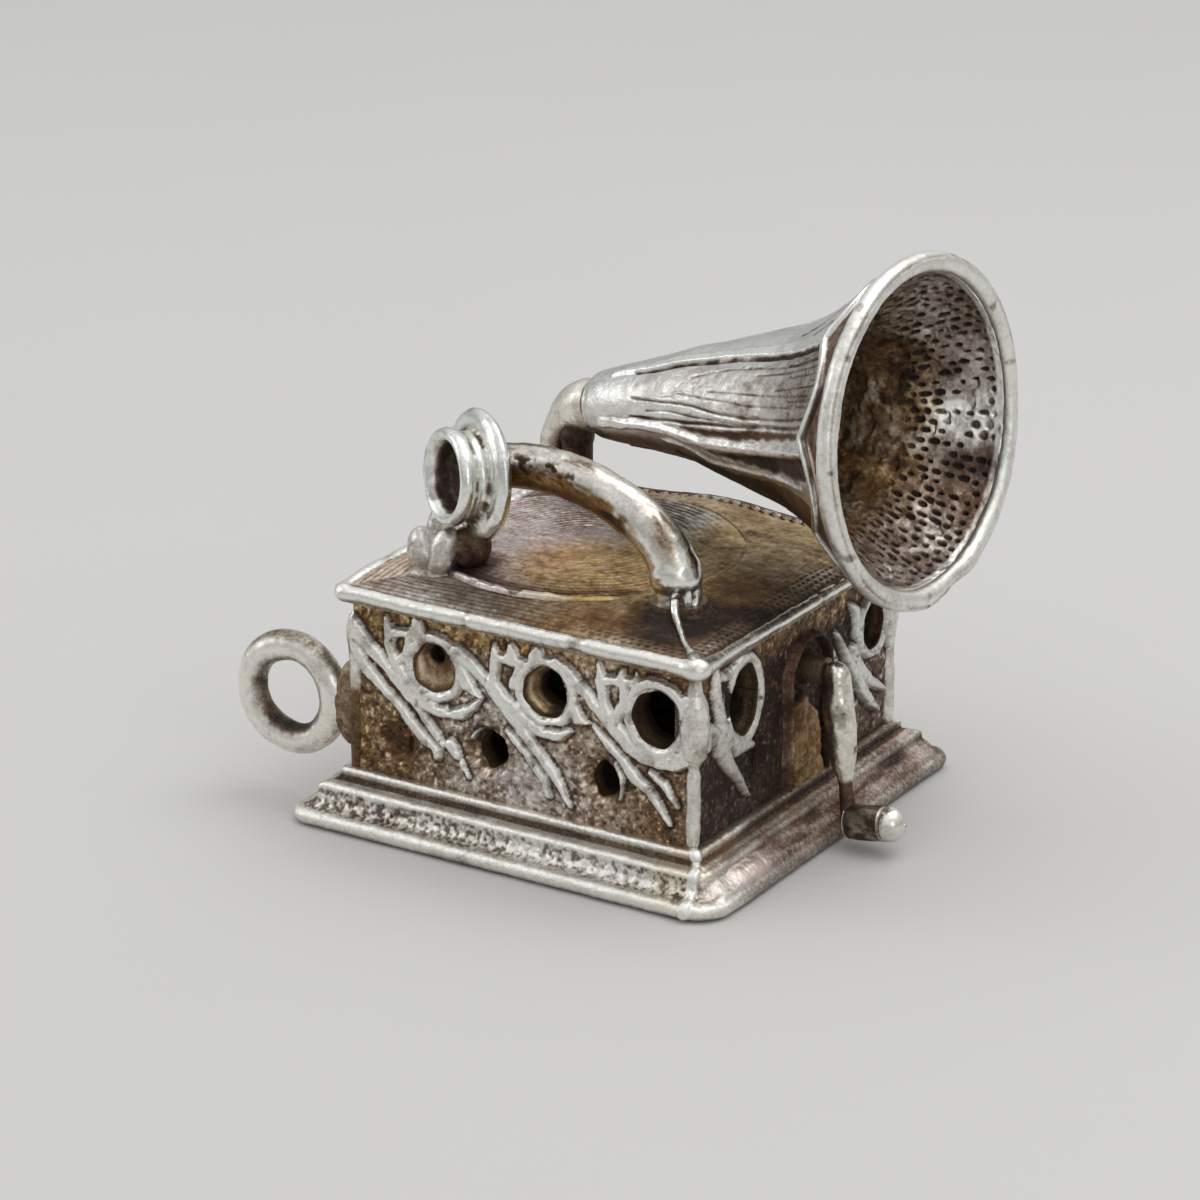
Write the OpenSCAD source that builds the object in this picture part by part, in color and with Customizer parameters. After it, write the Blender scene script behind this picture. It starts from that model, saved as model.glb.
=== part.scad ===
// Silver charm in the shape of a gramophone: a pierced square case on a moulded plinth,
// a record and a bent tone arm on its lid, a fluted horn with a flared mouth, a winding
// crank that turns, and a hanging ring at one corner.
// Origin: centre of the plinth's underside. +Z up, -Y the front face, +X the crank side,
// which the horn's mouth faces too. Millimetres, real size.

/* [Show] */
// Which piece to draw

/* [Case] */
// Width of the case along X and Y, outer face to outer face
body_w = 11.6; // [10.6:0.1:12.2]
// Thickness of the case's pierced walls
wall = 0.7; // [0.5:0.05:1]
// Height of the top surface of the lid's rim above the table
case_h = 7.41; // [6.8:0.05:8.2]
// How far the lid stands out past the case along X, each side
lid_over_x = 0.45; // [0.35:0.05:0.9]
// How far the lid stands out past the case along Y, each side
lid_over_y = 0.5; // [0.35:0.05:0.9]
// Thickness of the lid's plate
lid_t = 0.48; // [0.35:0.01:0.7]
// How far the lid's crown rises at its middle
crown_h = 0.42; // [0.2:0.02:0.5]
// Radius of the bright bead round the lid's edge
rim_r = 0.25; // [0.18:0.01:0.3]
// Radius of the polished bead up each corner of the case
corner_r = 0.33; // [0.2:0.01:0.4]
// Height of the relief that stands out from the walls
relief = 0.16; // [0.08:0.01:0.2]

/* [Plinth] */
// How far the plinth's foot stands out past the case, each side
plinth_out = 1.54; // [1.2:0.02:1.8]
// Height of the moulded plinth
plinth_h = 1.65; // [1.4:0.05:2]
// Thickness of the floor inside the plinth
floor_t = 0.6; // [0.3:0.05:1]

/* [Pierced holes] */
// Radius of the upper holes
hole_up_r = 0.72; // [0.5:0.02:0.82]
// Radius of the lower holes
hole_low_r = 0.45; // [0.3:0.02:0.55]
// Height of the upper holes' centres
hole_up_z = 5.38; // [5.2:0.02:5.5]
// Height of the lower holes' centres
hole_low_z = 3.15; // [3:0.05:3.3]

/* [Record] */
// Radius of the record
record_r = 4.55; // [3.8:0.05:4.6]
// How far the record stands up from the lid's edge
record_h = 0.42; // [0.36:0.02:0.5]
// Where the record's centre lies along X
record_x = -1.35; // [-1.4:0.05:-0.8]

/* [Tone arm] */
// Radius of the tone arm's rod
arm_r = 0.72; // [0.55:0.01:0.8]
// Where the tone arm's foot stands along X
arm_x = 3.5; // [3.2:0.05:3.9]
// Where the tone arm lies along Y
arm_y = -2.9; // [-3.2:0.05:-2.6]
// Radius of the tight bend above the foot
bend_r = 2.4; // [2.2:0.05:2.6]
// Radius of the long bend over the record
arch_r = 6.2; // [5.8:0.1:6.6]
// Radius of the sound box's rear flange
box_r = 1.98; // [1.7:0.02:2.1]

/* [Horn] */
// Radius of the horn's mouth to the outside of its rim
mouth_r = 5.23; // [4.6:0.01:5.3]
// Radius of the round bead on the horn's rim
horn_bead_r = 0.31; // [0.2:0.01:0.34]
// Wall thickness of the horn
horn_wall = 0.36; // [0.25:0.01:0.45]
// Length of the horn along its axis, bend to mouth
horn_len = 7.8; // [7:0.1:8.2]
// Length of the horn's narrow throat
throat_len = 4.05; // [3.2:0.1:4.2]
// Radius of the post that holds the horn up
post_r = 0.48; // [0.4:0.01:0.65]

/* [Crank] */
// Radius of the crank's shaft
shaft_r = 0.4; // [0.3:0.01:0.5]
// Gap all round the shaft in its bearing
shaft_gap = 0.05; // [0.02:0.01:0.09]
// Length of the crank's arm, shaft axis to handle axis
crank_len = 4.5; // [3.8:0.05:4.6]
// Radius of the crank's handle
handle_r = 0.53; // [0.42:0.01:0.56]
// Length of the handle
handle_len = 1.85; // [1.4:0.05:2.2]

/* [Hanging ring] */
// Radius of the ring from its centre to the middle of its wire
ring_r = 1.45; // [1.35:0.05:1.7]
// Radius of the ring's wire
wire_r = 0.48; // [0.44:0.01:0.52]
// Radius of the worn flat land inside the ring
land_r = 1.02; // [1.01:0.01:1.04]

/* [Hidden] */
$fn = 72;
far = 40;
cut = 0.01;

half = body_w / 2;
inner = half - wall;
foot = half + plinth_out;
lid_x = half + lid_over_x;
lid_y = half + lid_over_y;
bead_z = case_h - rim_r;
lid_top = case_h - 0.08;
lid_low = lid_top - lid_t;
slab_x = lid_x - 0.2;
slab_y = lid_y - 0.2;

silver = [0.86, 0.86, 0.84];
aged = [0.62, 0.57, 0.5];
dark = [0.36, 0.31, 0.28];

// Plinth: a foot bead, a hollow cove and two ridges, the same on all four sides

function fy(k) = k * plinth_h / 1.65;
function fx(k) = half + (k - 5.8) * plinth_out / 1.54;

module plinth_profile() {
  difference() {
    union() {
      polygon([[-fx(6.8), 0], [fx(6.8), 0], [fx(7.1), fy(0.12)], [fx(7.12), fy(0.42)], [fx(6.55), fy(1.0)],
               [fx(6.32), fy(1.25)], [fx(6.02), fy(1.42)], [fx(6.02), fy(1.65)], [-fx(6.02), fy(1.65)],
               [-fx(6.02), fy(1.42)],
               [-fx(6.32), fy(1.25)], [-fx(6.55), fy(1.0)], [-fx(7.12), fy(0.42)], [-fx(7.1), fy(0.12)]]);
      for (s = [-1, 1]) {
        translate([s * fx(7.12), fy(0.29)]) circle(r = 0.22 * plinth_out / 1.54);
        translate([s * fx(6.52), fy(1.06)]) circle(r = 0.15);
        translate([s * fx(6.03), fy(1.5)]) circle(r = 0.14);
      }
    }
    for (s = [-1, 1]) translate([s * fx(7.16), fy(1.08)]) circle(r = 0.52);
    translate([-far, -far]) square([2 * far, far]);
  }
}

module rounded_square(h, r) {
  square([2 * h, 2 * h - 2 * r], center = true);
  square([2 * h - 2 * r, 2 * h], center = true);
  for (x = [-1, 1], y = [-1, 1]) translate([x * (h - r), y * (h - r)]) circle(r = r);
}

module plinth() color(aged) {
  difference() {
    intersection() {
      rotate([90, 0, 0]) linear_extrude(2 * far, center = true) plinth_profile();
      rotate([90, 0, 90]) linear_extrude(2 * far, center = true) plinth_profile();
      linear_extrude(far) rounded_square(foot, 0.8);
    }
    translate([-inner, -inner, -cut]) cube([2 * inner, 2 * inner, far]);
  }
}

module floor_plate() color(dark) {
  translate([-inner, -inner, 0]) cube([2 * inner, 2 * inner, floor_t]);
}

// Walls: pierced panels with raised rings, leaf crests and slanting bands

up_u = [-3.06, 0.81, 4.5];
low_u = [-4.05, -0.82, 2.88];
scale_u = body_w / 11.6;
ring_out = 1.14;
dish_r = 0.7;

// Band of width w along the points p, pointed at both ends
function way(p, i) = p[min(i + 1, len(p) - 1)] - p[max(i - 1, 0)];
function side(p, i, w) = p[i] + [-way(p, i)[1], way(p, i)[0]] / norm(way(p, i)) * w / 2;
function thin(p, i) = i == 0 || i == len(p) - 1 ? 0.45 : 1;

module band(p, w) {
  n = len(p) - 1;
  polygon(concat([for (i = [0:n]) side(p, i, w * thin(p, i))], [for (i = [n:-1:0]) side(p, i, -w * thin(p, i))]));
}

// One repeat of the raised pattern, about the centre of an upper hole
module crest() {
  difference() {
    polygon([[-1.72, -0.35], [-1.66, 1.3], [-1.32, 0.93], [-1.0, 0.95], [-0.72, 1.48], [-0.5, 1.06], [-0.28, 1.26],
             [0, 0.9], [-0.3, 0.3], [-0.7, -0.5], [-1.3, -0.75]]);
    polygon([[-1.3, 0.05], [-1.18, 0.6], [-0.86, 0.62], [-1.0, 0.1]]);
  }
}

module tail() {
  difference() {
    polygon([[0.9, 0.3], [1.75, -0.72], [1.25, -1.3], [0.55, -1.5], [-0.4, -1.22], [-0.2, -0.5]]);
    polygon([[0.42, -1.3], [0.9, -0.97], [1.22, -0.62], [0.95, -1.1]]);
  }
}

module repeat_unit() {
  circle(r = ring_out);
  crest();
  tail();
  band([[-2.78, 0.8], [-1.93, 0.06], [-0.96, -0.83], [-0.1, -1.72], [0.55, -2.6], [0.85, -3.15]], 0.34);
  band([[-3.0, 0.45], [-2.15, -0.58], [-1.2, -1.5], [-0.32, -2.32], [0.3, -3.1]], 0.3);
}

// Raised pattern, drawn flat: across the wall and up it
module pattern(skip_middle) {
  for (k = [0:2]) if (!(skip_middle && k == 1)) translate([up_u[k] * scale_u, hole_up_z]) repeat_unit();
  if (!skip_middle) translate([(up_u[0] - 3.8) * scale_u, hole_up_z])
    band([[-0.3, -1.9], [0.55, -2.6], [0.95, -3.2]], 0.3);
}

module pierced(skip_middle) {
  for (k = [0:2]) {
    if (!(skip_middle && k == 1)) translate([up_u[k] * scale_u, hole_up_z]) circle(r = hole_up_r);
    translate([low_u[k] * scale_u, hole_low_z + (k == 0 ? -0.45 : 0)]) circle(r = k == 0 ? 0.25 : hole_low_r);
  }
}

// Shallow dishes that the lower holes sit in
module dishes() {
  for (k = [0:2]) translate([(low_u[k] - 0.12) * scale_u, hole_low_z - (k == 0 ? 0.5 : 0.06)]) circle(r = dish_r);
}

// One wall, facing -Y, with its outer face on y = -half
module wall_sheet(span, skip_middle) {
  field = half - corner_r - 0.1;
  difference() {
    union() {
      translate([-span, -half, plinth_h]) cube([2 * span, wall, lid_low - plinth_h]);
      translate([0, -half, 0]) rotate([90, 0, 0]) linear_extrude(relief)
        intersection() {
          pattern(skip_middle);
          translate([-field, plinth_h + 0.1]) square([2 * field, lid_low - plinth_h - 0.3]);
        }
    }
    translate([0, -inner + 1, 0]) rotate([90, 0, 0]) linear_extrude(wall + relief + 2) pierced(skip_middle);
    translate([0, -half + 0.14, 0]) rotate([90, 0, 0]) linear_extrude(0.15) dishes();
    corner_rods();
  }
}

module corner_rods() {
  for (x = [-half, half], y = [-half, half])
    translate([x, y, plinth_h]) cylinder(r = corner_r, h = lid_low - plinth_h);
}

module front_panel() color(aged) difference() {
  wall_sheet(half, false);
  bail_web();
}
module back_panel() color(aged) rotate(180) wall_sheet(half, false);
module left_panel() color(aged) difference() {
  rotate(-90) wall_sheet(inner, false);
  bail_web();
}
module right_panel() color(aged) difference() {
  rotate(90) wall_sheet(inner, true);
  boss_body();
  shaft_hole();
}
module corner_beads() color(silver) difference() {
  corner_rods();
  bail_web();
}

// Lid, its bright rim and the rope border inside it

module slab(grow = 0) {
  translate([-slab_x - grow, -slab_y - grow, lid_low])
    cube([2 * slab_x + 2 * grow, 2 * slab_y + 2 * grow, lid_t]);
}

crown_x = lid_x - 1.15;
crown_y = lid_y - 1.15;

// Radius of the arc that rises by h over a half width of w
function arc_r(w, h) = (w * w + h * h) / (2 * h);

module crown_arc(w) {
  intersection() {
    translate([0, lid_top + crown_h - arc_r(w, crown_h)]) circle(r = arc_r(w, crown_h), $fn = 360);
    translate([-w, lid_top - 0.02]) square([2 * w, crown_h + 1]);
  }
}

module lid_solid() {
  slab();
  intersection() {
    rotate([90, 0, 0]) linear_extrude(2 * crown_y, center = true) crown_arc(crown_x);
    rotate([90, 0, 90]) linear_extrude(2 * crown_x, center = true) crown_arc(crown_y);
  }
}

module top_plate() color(aged) difference() {
  lid_solid();
  record_disc();
}

module plate_rim() color(silver) difference() {
  union() {
    for (s = [-1, 1]) {
      translate([-lid_x + rim_r, s * (lid_y - rim_r), bead_z]) rotate([0, 90, 0])
        cylinder(r = rim_r, h = 2 * (lid_x - rim_r));
      translate([s * (lid_x - rim_r), -lid_y + rim_r, bead_z]) rotate([-90, 0, 0])
        cylinder(r = rim_r, h = 2 * (lid_y - rim_r));
      for (t = [-1, 1]) translate([s * (lid_x - rim_r), t * (lid_y - rim_r), bead_z]) sphere(r = rim_r);
    }
    translate([lid_x - 0.3, -lid_y + 0.3, bead_z]) sphere(r = rim_r + 0.1);
  }
  slab();
  translate([-slab_x, -slab_y, lid_low - 1]) cube([2 * slab_x, 2 * slab_y, 1.01]);
  record_disc();
}

module rope_strip() difference() {
  translate([-lid_x + 0.62, -lid_y + 0.62, lid_top])
    cube([2 * lid_x - 1.24, 2 * lid_y - 1.24, 0.09]);
  translate([-lid_x + 1.1, -lid_y + 1.1, lid_top - 1])
    cube([2 * lid_x - 2.2, 2 * lid_y - 2.2, 2]);
}

module rope_border() color(dark) difference() {
  rope_strip();
  record_disc();
}

// Record: a low disc with a raised edge and fine turned rings

module record_disc() {
  translate([record_x, 0, lid_top]) cylinder(r = record_r, h = record_h);
}

module record() color(aged) {
  translate([record_x, 0, lid_top]) rotate_extrude() difference() {
    square([record_r, record_h]);
    translate([0.9, record_h - 0.06]) square([record_r - 1.3, 1]);
    for (k = [0:5]) translate([1.3 + k * (record_r - 2.1) / 5, record_h - 0.06]) circle(r = 0.07);
    translate([0, record_h - 0.06]) square([0.25, 1]);
  }
}

// Tone arm, its foot and the sound box

arm_z = lid_top + crown_h + 0.04;
bend_z = lid_top + 0.5;
turn = 55;
arch_x = arm_x - bend_r + (bend_r - arch_r) * cos(turn);
arch_z = bend_z + (bend_r - arch_r) * sin(turn);
tip = 110;

module arm_foot() color(aged) difference() {
  translate([arm_x, arm_y, lid_top]) cylinder(r = arm_r + 0.12, h = arm_z - lid_top);
  lid_solid();
}

module tone_arm() color(silver) difference() {
  union() {
    translate([arm_x, arm_y, arm_z]) cylinder(r = arm_r + 0.03, h = 0.14 + bend_z - arm_z);
    translate([arm_x - bend_r, arm_y, bend_z]) rotate([90, 0, 0])
      rotate_extrude(angle = turn + 2) translate([bend_r, 0]) circle(r = arm_r);
    translate([arch_x, arm_y, arch_z]) rotate([90, 0, 0]) rotate(turn)
      rotate_extrude(angle = tip - turn) translate([arch_r, 0]) circle(r = arm_r - 0.03);
  }
  translate([0, 0, lid_top]) cube([far, far, 2 * (arm_z - lid_top)], center = true);
  box_place() translate([0, 0, -0.25]) cylinder(r = box_r + 1, h = 4);
}

// The sound box faces forward and to the left; its axis runs along local +Z, rear to front
box_x = arm_x - 6.57;
box_y = arm_y - 0.3;
box_z = lid_top + 3.12;
box_yaw = 58;
box_up = 5;
box_len = 0.98;

module box_place() {
  translate([box_x, box_y, box_z]) rotate([0, 0, 180 + box_yaw]) rotate([0, 90 - box_up, 0]) children();
}

module box_profile() {
  square([box_r * 0.66, box_len + 0.2]);
  translate([box_r - 0.25, 0]) circle(r = 0.25);
  translate([0, -0.25]) square([box_r - 0.25, 0.5]);
  translate([box_r * 0.7, 0.46]) circle(r = 0.13);
  translate([box_r * 0.79 - 0.28, box_len]) circle(r = 0.28);
  translate([0, box_len - 0.28]) square([box_r * 0.79 - 0.28, 0.56]);
}

module box_filled() {
  rotate_extrude() intersection() {
    box_profile();
    translate([0, -far]) square([far, 2 * far]);
  }
}

module soundbox() color(silver) box_place() difference() {
  box_filled();
  translate([0, 0, box_len - 0.35]) cylinder(r = box_r * 0.52, h = 2);
}

// Two lumps of silver that the sound box stands on
lump_x = box_x - 1.23;
lump_y = box_y - 0.52;
lump_r = 0.8;
bead_x = box_x - 0.38;
bead_r = 0.6;

module needle_lump() {
  translate([lump_x, lump_y, lid_top]) cylinder(r = lump_r - 0.18, h = 1.1);
  translate([lump_x, lump_y, lid_top + lump_r - 0.18]) sphere(r = lump_r);
  translate([lump_x + 0.3, lump_y, lid_top + 0.9]) cylinder(r = 0.45, h = 1.2);
}

module needle_block() color(silver) difference() {
  needle_lump();
  box_place() box_filled();
  record_disc();
  lid_solid();
}

module solder_bead() color(dark) difference() {
  union() {
    translate([bead_x, box_y, lid_top + record_h + bead_r - 0.2]) sphere(r = bead_r);
    translate([bead_x, box_y, lid_top + record_h]) cylinder(r = bead_r - 0.15, h = 1.1);
  }
  needle_lump();
  box_place() box_filled();
  record_disc();
  lid_solid();
}

// Horn: foot, post, bend, throat and cone, collar, flared bell and rim

// Placed from the bend forward; the horn points up a little and turns to the front
horn_yaw = -4.8;
horn_up = 5;
throat_up = 11.5;
neck_r = 0.82;
elbow_r = 1.2;
mouth_x = 8.14;
mouth_y = 3.0;
mouth_z = case_h + 4.63;
knee_x = mouth_x - horn_len * cos(horn_up) * cos(horn_yaw);
knee_y = mouth_y - horn_len * cos(horn_up) * sin(horn_yaw);
knee_z = mouth_z - horn_len * sin(horn_up);
throat_x = knee_x - throat_len * cos(throat_up) * cos(horn_yaw);
throat_y = knee_y - throat_len * cos(throat_up) * sin(horn_yaw);
throat_z = knee_z - throat_len * sin(throat_up);
k_r = mouth_r / 5.23;
ring_from = 0.12;
ring_to = 0.38;
collar_from = 6.25 * horn_len / 7.8;
collar_to = collar_from + 0.3;
bell_to = horn_len - 0.3;
knee_r = 1.78 * k_r;
bore_from = 1.6;

// Outside radius against distance from the knee, up to the rim's bead
function bell_r(s) = k_r * lookup(s * 7.8 / horn_len, [[0, 1.78], [1, 2.04], [2, 2.32], [3, 2.6], [4, 2.9],
  [4.8, 3.24], [5.4, 3.58], [6, 4], [6.6, 4.4], [7.2, 4.74], [7.8, 4.95]]);

module at_throat() {
  translate([throat_x, throat_y, throat_z])
    rotate([0, 0, horn_yaw]) rotate([0, 90 - throat_up, 0]) children();
}

module at_knee() {
  translate([knee_x, knee_y, knee_z]) rotate([0, 0, horn_yaw]) rotate([0, 90 - horn_up, 0]) children();
}

turn_x = throat_x - elbow_r * (1 - sin(throat_up)) * cos(horn_yaw);
turn_y = throat_y - elbow_r * (1 - sin(throat_up)) * sin(horn_yaw);
turn_z = throat_z - elbow_r * cos(throat_up);
post_x = turn_x + 0.3;
post_y = turn_y;

module horn_foot() color(aged) difference() {
  translate([post_x, post_y, lid_top]) cylinder(r = post_r + 0.2, h = crown_h + 0.1);
  lid_solid();
  rope_strip();
  record_disc();
}

module horn_post() color(aged) {
  translate([post_x, post_y, lid_top + crown_h + 0.1])
    cylinder(r = post_r, h = turn_z - lid_top - crown_h - 0.1);
}

module horn_elbow() color(silver) {
  translate([turn_x, turn_y, turn_z]) rotate([0, 0, horn_yaw]) translate([elbow_r, 0, 0]) rotate([90, 0, 0])
    rotate([0, 0, 90 + throat_up]) rotate_extrude(angle = 90 - throat_up) translate([elbow_r, 0])
      circle(r = neck_r);
}

module horn_ring() color(silver) at_throat() {
  cylinder(r = neck_r, h = ring_from);
  translate([0, 0, ring_from]) cylinder(r = neck_r + 0.12, h = ring_to - ring_from);
}

rib_n = 9;
rib_r = 0.11;
seam_to = horn_len * 4 / 7.8;

// Raised seams along the horn between two distances from the knee or the throat
module seams(r0, s0, r1, s1) {
  for (k = [0:rib_n - 1]) rotate(k * 360 / rib_n + 12) translate([r0 - 0.04, 0, s0])
    rotate([0, atan((r1 - r0) / (s1 - s0)), 0])
      cylinder(r1 = rib_r * 0.7, r2 = rib_r, h = norm([r1 - r0, s1 - s0]));
}

module cone_outside() {
  at_throat() translate([0, 0, ring_to]) cylinder(r1 = neck_r + 0.04, r2 = knee_r, h = throat_len - ring_to);
  at_knee() {
    sphere(r = knee_r - 0.03);
    rotate_extrude() polygon([[0, 0], for (k = [0:9]) [bell_r(collar_from * k / 9), collar_from * k / 9],
                              [0, collar_from]]);
  }
}

module cone_inside() {
  at_throat() translate([0, 0, bore_from])
    cylinder(r1 = 0.75, r2 = knee_r - horn_wall, h = throat_len - bore_from);
  at_knee() {
    sphere(r = knee_r - horn_wall - 0.02);
    rotate_extrude() polygon([[0, 0], for (k = [0:9])
      [bell_r(collar_from * k / 9) - horn_wall, collar_from * k / 9],
      [bell_r(collar_from) - horn_wall, collar_from + 1], [0, collar_from + 1]]);
  }
}

module horn_cone() color(aged) difference() {
  union() {
    cone_outside();
    at_throat() seams(neck_r + 0.08, ring_to + 0.25, knee_r, throat_len);
    at_knee() seams(knee_r, 0, bell_r(seam_to), seam_to);
  }
  cone_inside();
}

module horn_collar() color(silver) at_knee() rotate_extrude() {
  polygon([[bell_r(collar_from) - horn_wall, collar_from], [bell_r(collar_from) + 0.11, collar_from],
           [bell_r(collar_to) + 0.11, collar_to], [bell_r(collar_to) - horn_wall, collar_to]]);
}

bell_n = 5;
function bell_s(k) = collar_to + (bell_to - collar_to) * k / bell_n;

module rim_bead(grow = 0) {
  translate([0, 0, horn_len - 0.05]) rotate_extrude()
    translate([mouth_r - horn_bead_r, 0]) circle(r = horn_bead_r + grow);
}

module horn_bell() color(aged) at_knee() difference() {
  rotate_extrude() polygon(concat(
    [for (k = [0:bell_n]) [bell_r(bell_s(k)), bell_s(k)]],
    [[bell_r(horn_len), horn_len - 0.06], [bell_r(horn_len) - horn_wall, horn_len - 0.06]],
    [for (k = [bell_n:-1:0]) [bell_r(bell_s(k)) - horn_wall, bell_s(k)]]));
  rim_bead();
}

module horn_rim() color(silver) at_knee() rim_bead();

// Crank: a bearing boss on the right wall; shaft, collar, arm and handle turn together

crank_y = 0.3;
crank_z = 5.2;
boss_t = 0.42;
hub_x = half + 1.15;
lean = 9;
swing = -3.2;

module boss_outline() {
  translate([crank_y, crank_z - 0.1]) circle(r = 1.2);
  translate([crank_y - 0.95, crank_z - 2.6]) square([1.9, 2.5]);
  translate([crank_y, crank_z - 2.6]) circle(r = 0.95);
}

module boss_body() {
  translate([half, 0, 0]) rotate([90, 0, 90]) linear_extrude(boss_t) boss_outline();
}

module shaft_hole() {
  translate([inner - 2, crank_y, crank_z]) rotate([0, 90, 0]) cylinder(r = shaft_r + shaft_gap, h = 6);
}

module crank_boss() color(dark) difference() {
  boss_body();
  translate([half + boss_t - 0.2, 0, 0]) rotate([90, 0, 90]) linear_extrude(1) {
    translate([crank_y, crank_z - 2.6]) circle(r = 0.65);
    translate([crank_y - 0.65, crank_z - 2.6]) square([1.3, 1.5]);
  }
  shaft_hole();
}

module crank_shaft() color(silver) {
  translate([inner - 0.62, crank_y, crank_z]) rotate([0, 90, 0])
    cylinder(r = shaft_r, h = hub_x - 0.3 - inner + 0.62);
}

module crank_collar() color(aged) {
  translate([inner - 0.4, crank_y, crank_z]) rotate([0, 90, 0]) difference() {
    cylinder(r = shaft_r + 0.35, h = 0.3);
    translate([0, 0, -1]) cylinder(r = shaft_r, h = 3);
  }
}

module crank_place() {
  translate([hub_x, crank_y, crank_z]) rotate([swing, 0, 0]) rotate([0, -lean, 0]) children();
}

// Spindle-shaped bar with a round head and a slim neck down to the grip; drawn down local -Z
bar_r = 0.47;
bar_mid = crank_len * 0.29;
bar_end = crank_len * 0.71;
neck_bar = 0.27;
bar_arc = arc_r(crank_len * 0.49, bar_r);

module arm_bar() {
  rotate_extrude() intersection() {
    union() {
      intersection() {
        translate([bar_r - bar_arc, -bar_mid]) circle(r = bar_arc, $fn = 180);
        translate([0, -bar_end]) square([2, bar_end + 0.15]);
      }
      translate([0, -0.05]) circle(r = 0.41);
      translate([0, -crank_len]) square([neck_bar, crank_len - 1]);
    }
    translate([0, -far]) square([far, 2 * far]);
  }
}

module crank_arm() color(silver) difference() {
  crank_place() arm_bar();
  translate([inner - 2, crank_y, crank_z]) rotate([0, 90, 0])
    cylinder(r = shaft_r, h = hub_x - 0.3 - inner + 2);
}

module crank_handle() color(silver) difference() {
  crank_place() translate([0, 0, -crank_len]) rotate([0, 90, 0]) difference() {
    union() {
      cylinder(r = handle_r, h = handle_len - handle_r);
      translate([0, 0, handle_len - handle_r]) sphere(r = handle_r);
    }
    translate([0, 0, handle_len - 0.62]) rotate_extrude() translate([handle_r + 0.02, 0]) circle(r = 0.06);
  }
  crank_place() arm_bar();
}

// Hanging ring and the web that joins it to the case's front left corner

bail_y = -half + 0.5;
bail_x = -half - 2.54;
bail_z = 3.28;

module ring_torus() {
  translate([bail_x, bail_y, bail_z]) rotate([90, 0, 0])
    rotate_extrude() translate([ring_r, 0]) circle(r = wire_r);
}

module ring_bore() {
  translate([bail_x, bail_y, bail_z]) rotate([90, 0, 0]) cylinder(r = land_r, h = 4, center = true);
}

module bail_ring() color(silver) difference() {
  ring_torus();
  ring_bore();
}

module bail_web() {
  difference() {
    translate([0, bail_y + 0.38, 0]) rotate([90, 0, 0]) linear_extrude(0.76)
      polygon([[-half + 0.1, 2.0], [-half - 0.5, 2.1], [bail_x + 1.3, 2.55], [bail_x + 1.3, 4.1],
               [-half - 0.5, 4.75], [-half + 0.1, 5.0]]);
    ring_torus();
  }
}

module bail_lug() color(aged) difference() {
  bail_web();
  ring_bore();
}

plinth();
floor_plate();
front_panel();
right_panel();
back_panel();
left_panel();
corner_beads();
top_plate();
plate_rim();
rope_border();
record();
arm_foot();
tone_arm();
soundbox();
needle_block();
solder_bead();
horn_foot();
horn_post();
horn_elbow();
horn_ring();
horn_cone();
horn_collar();
horn_bell();
horn_rim();
crank_boss();
crank_shaft();
crank_collar();
crank_arm();
crank_handle();
bail_lug();
bail_ring();
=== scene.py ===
import math
import bpy
import numpy as np
from mathutils import Matrix, Vector

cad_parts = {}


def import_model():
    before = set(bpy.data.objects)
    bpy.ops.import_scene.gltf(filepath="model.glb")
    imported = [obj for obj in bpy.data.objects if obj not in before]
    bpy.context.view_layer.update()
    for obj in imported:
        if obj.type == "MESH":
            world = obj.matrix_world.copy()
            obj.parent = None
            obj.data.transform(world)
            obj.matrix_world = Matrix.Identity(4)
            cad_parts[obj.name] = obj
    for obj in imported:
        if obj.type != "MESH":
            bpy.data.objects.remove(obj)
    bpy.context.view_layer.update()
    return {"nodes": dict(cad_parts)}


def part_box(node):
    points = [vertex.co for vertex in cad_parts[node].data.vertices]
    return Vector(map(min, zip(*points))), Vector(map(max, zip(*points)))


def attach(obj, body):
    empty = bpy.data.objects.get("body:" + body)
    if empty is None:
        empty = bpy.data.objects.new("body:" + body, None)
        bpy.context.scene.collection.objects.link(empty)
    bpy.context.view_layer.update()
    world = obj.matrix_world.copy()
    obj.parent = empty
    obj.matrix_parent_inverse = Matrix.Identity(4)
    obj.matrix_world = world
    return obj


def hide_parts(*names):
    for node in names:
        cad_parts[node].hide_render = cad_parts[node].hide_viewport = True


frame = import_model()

# Every length below is in millimetres; one factor turns it into metres
MM = 0.001
HALF = 5.8
PLINTH_H = 1.65
LID_TOP = 7.33
LID_LOW = 6.85
CASE_H = 7.41
LID_X = 6.25
LID_Y = 6.3
CROWN = 0.42
REC_X, REC_R, REC_RISE = -1.35, 4.72, 0.45
# A distance beyond any drawing's edge
FAR = 9.0


def clip01(a):
    return np.clip(a, 0, 1)


def smooth(a, lo, hi):
    """Runs softly from 0 at lo to 1 at hi, whichever of them is larger."""
    t = clip01((a - lo) / (hi - lo))
    return t * t * (3 - 2 * t)


def near(a, outer, inner):
    """Is 1 where a lies within inner of zero, and 0 beyond outer."""
    return smooth(np.abs(a), outer, inner)


def spot(parts, centre, size):
    """Falls off softly from 1 at the centre, in as many directions as there are parts."""
    return np.exp(-sum(((a - c) / w) ** 2 for a, c, w in zip(parts, centre, size)))


def circle(n):
    """Gives n even angles round a full turn."""
    return np.linspace(0, 2 * np.pi, n, endpoint=False)


def degrees_from(a, centre):
    """Angle from the centre, both in degrees, between -180 and 180."""
    return (a - centre + 180) % 360 - 180


def xyz(*parts):
    return np.stack(np.broadcast_arrays(*parts), -1)


# Seeded noise


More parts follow.
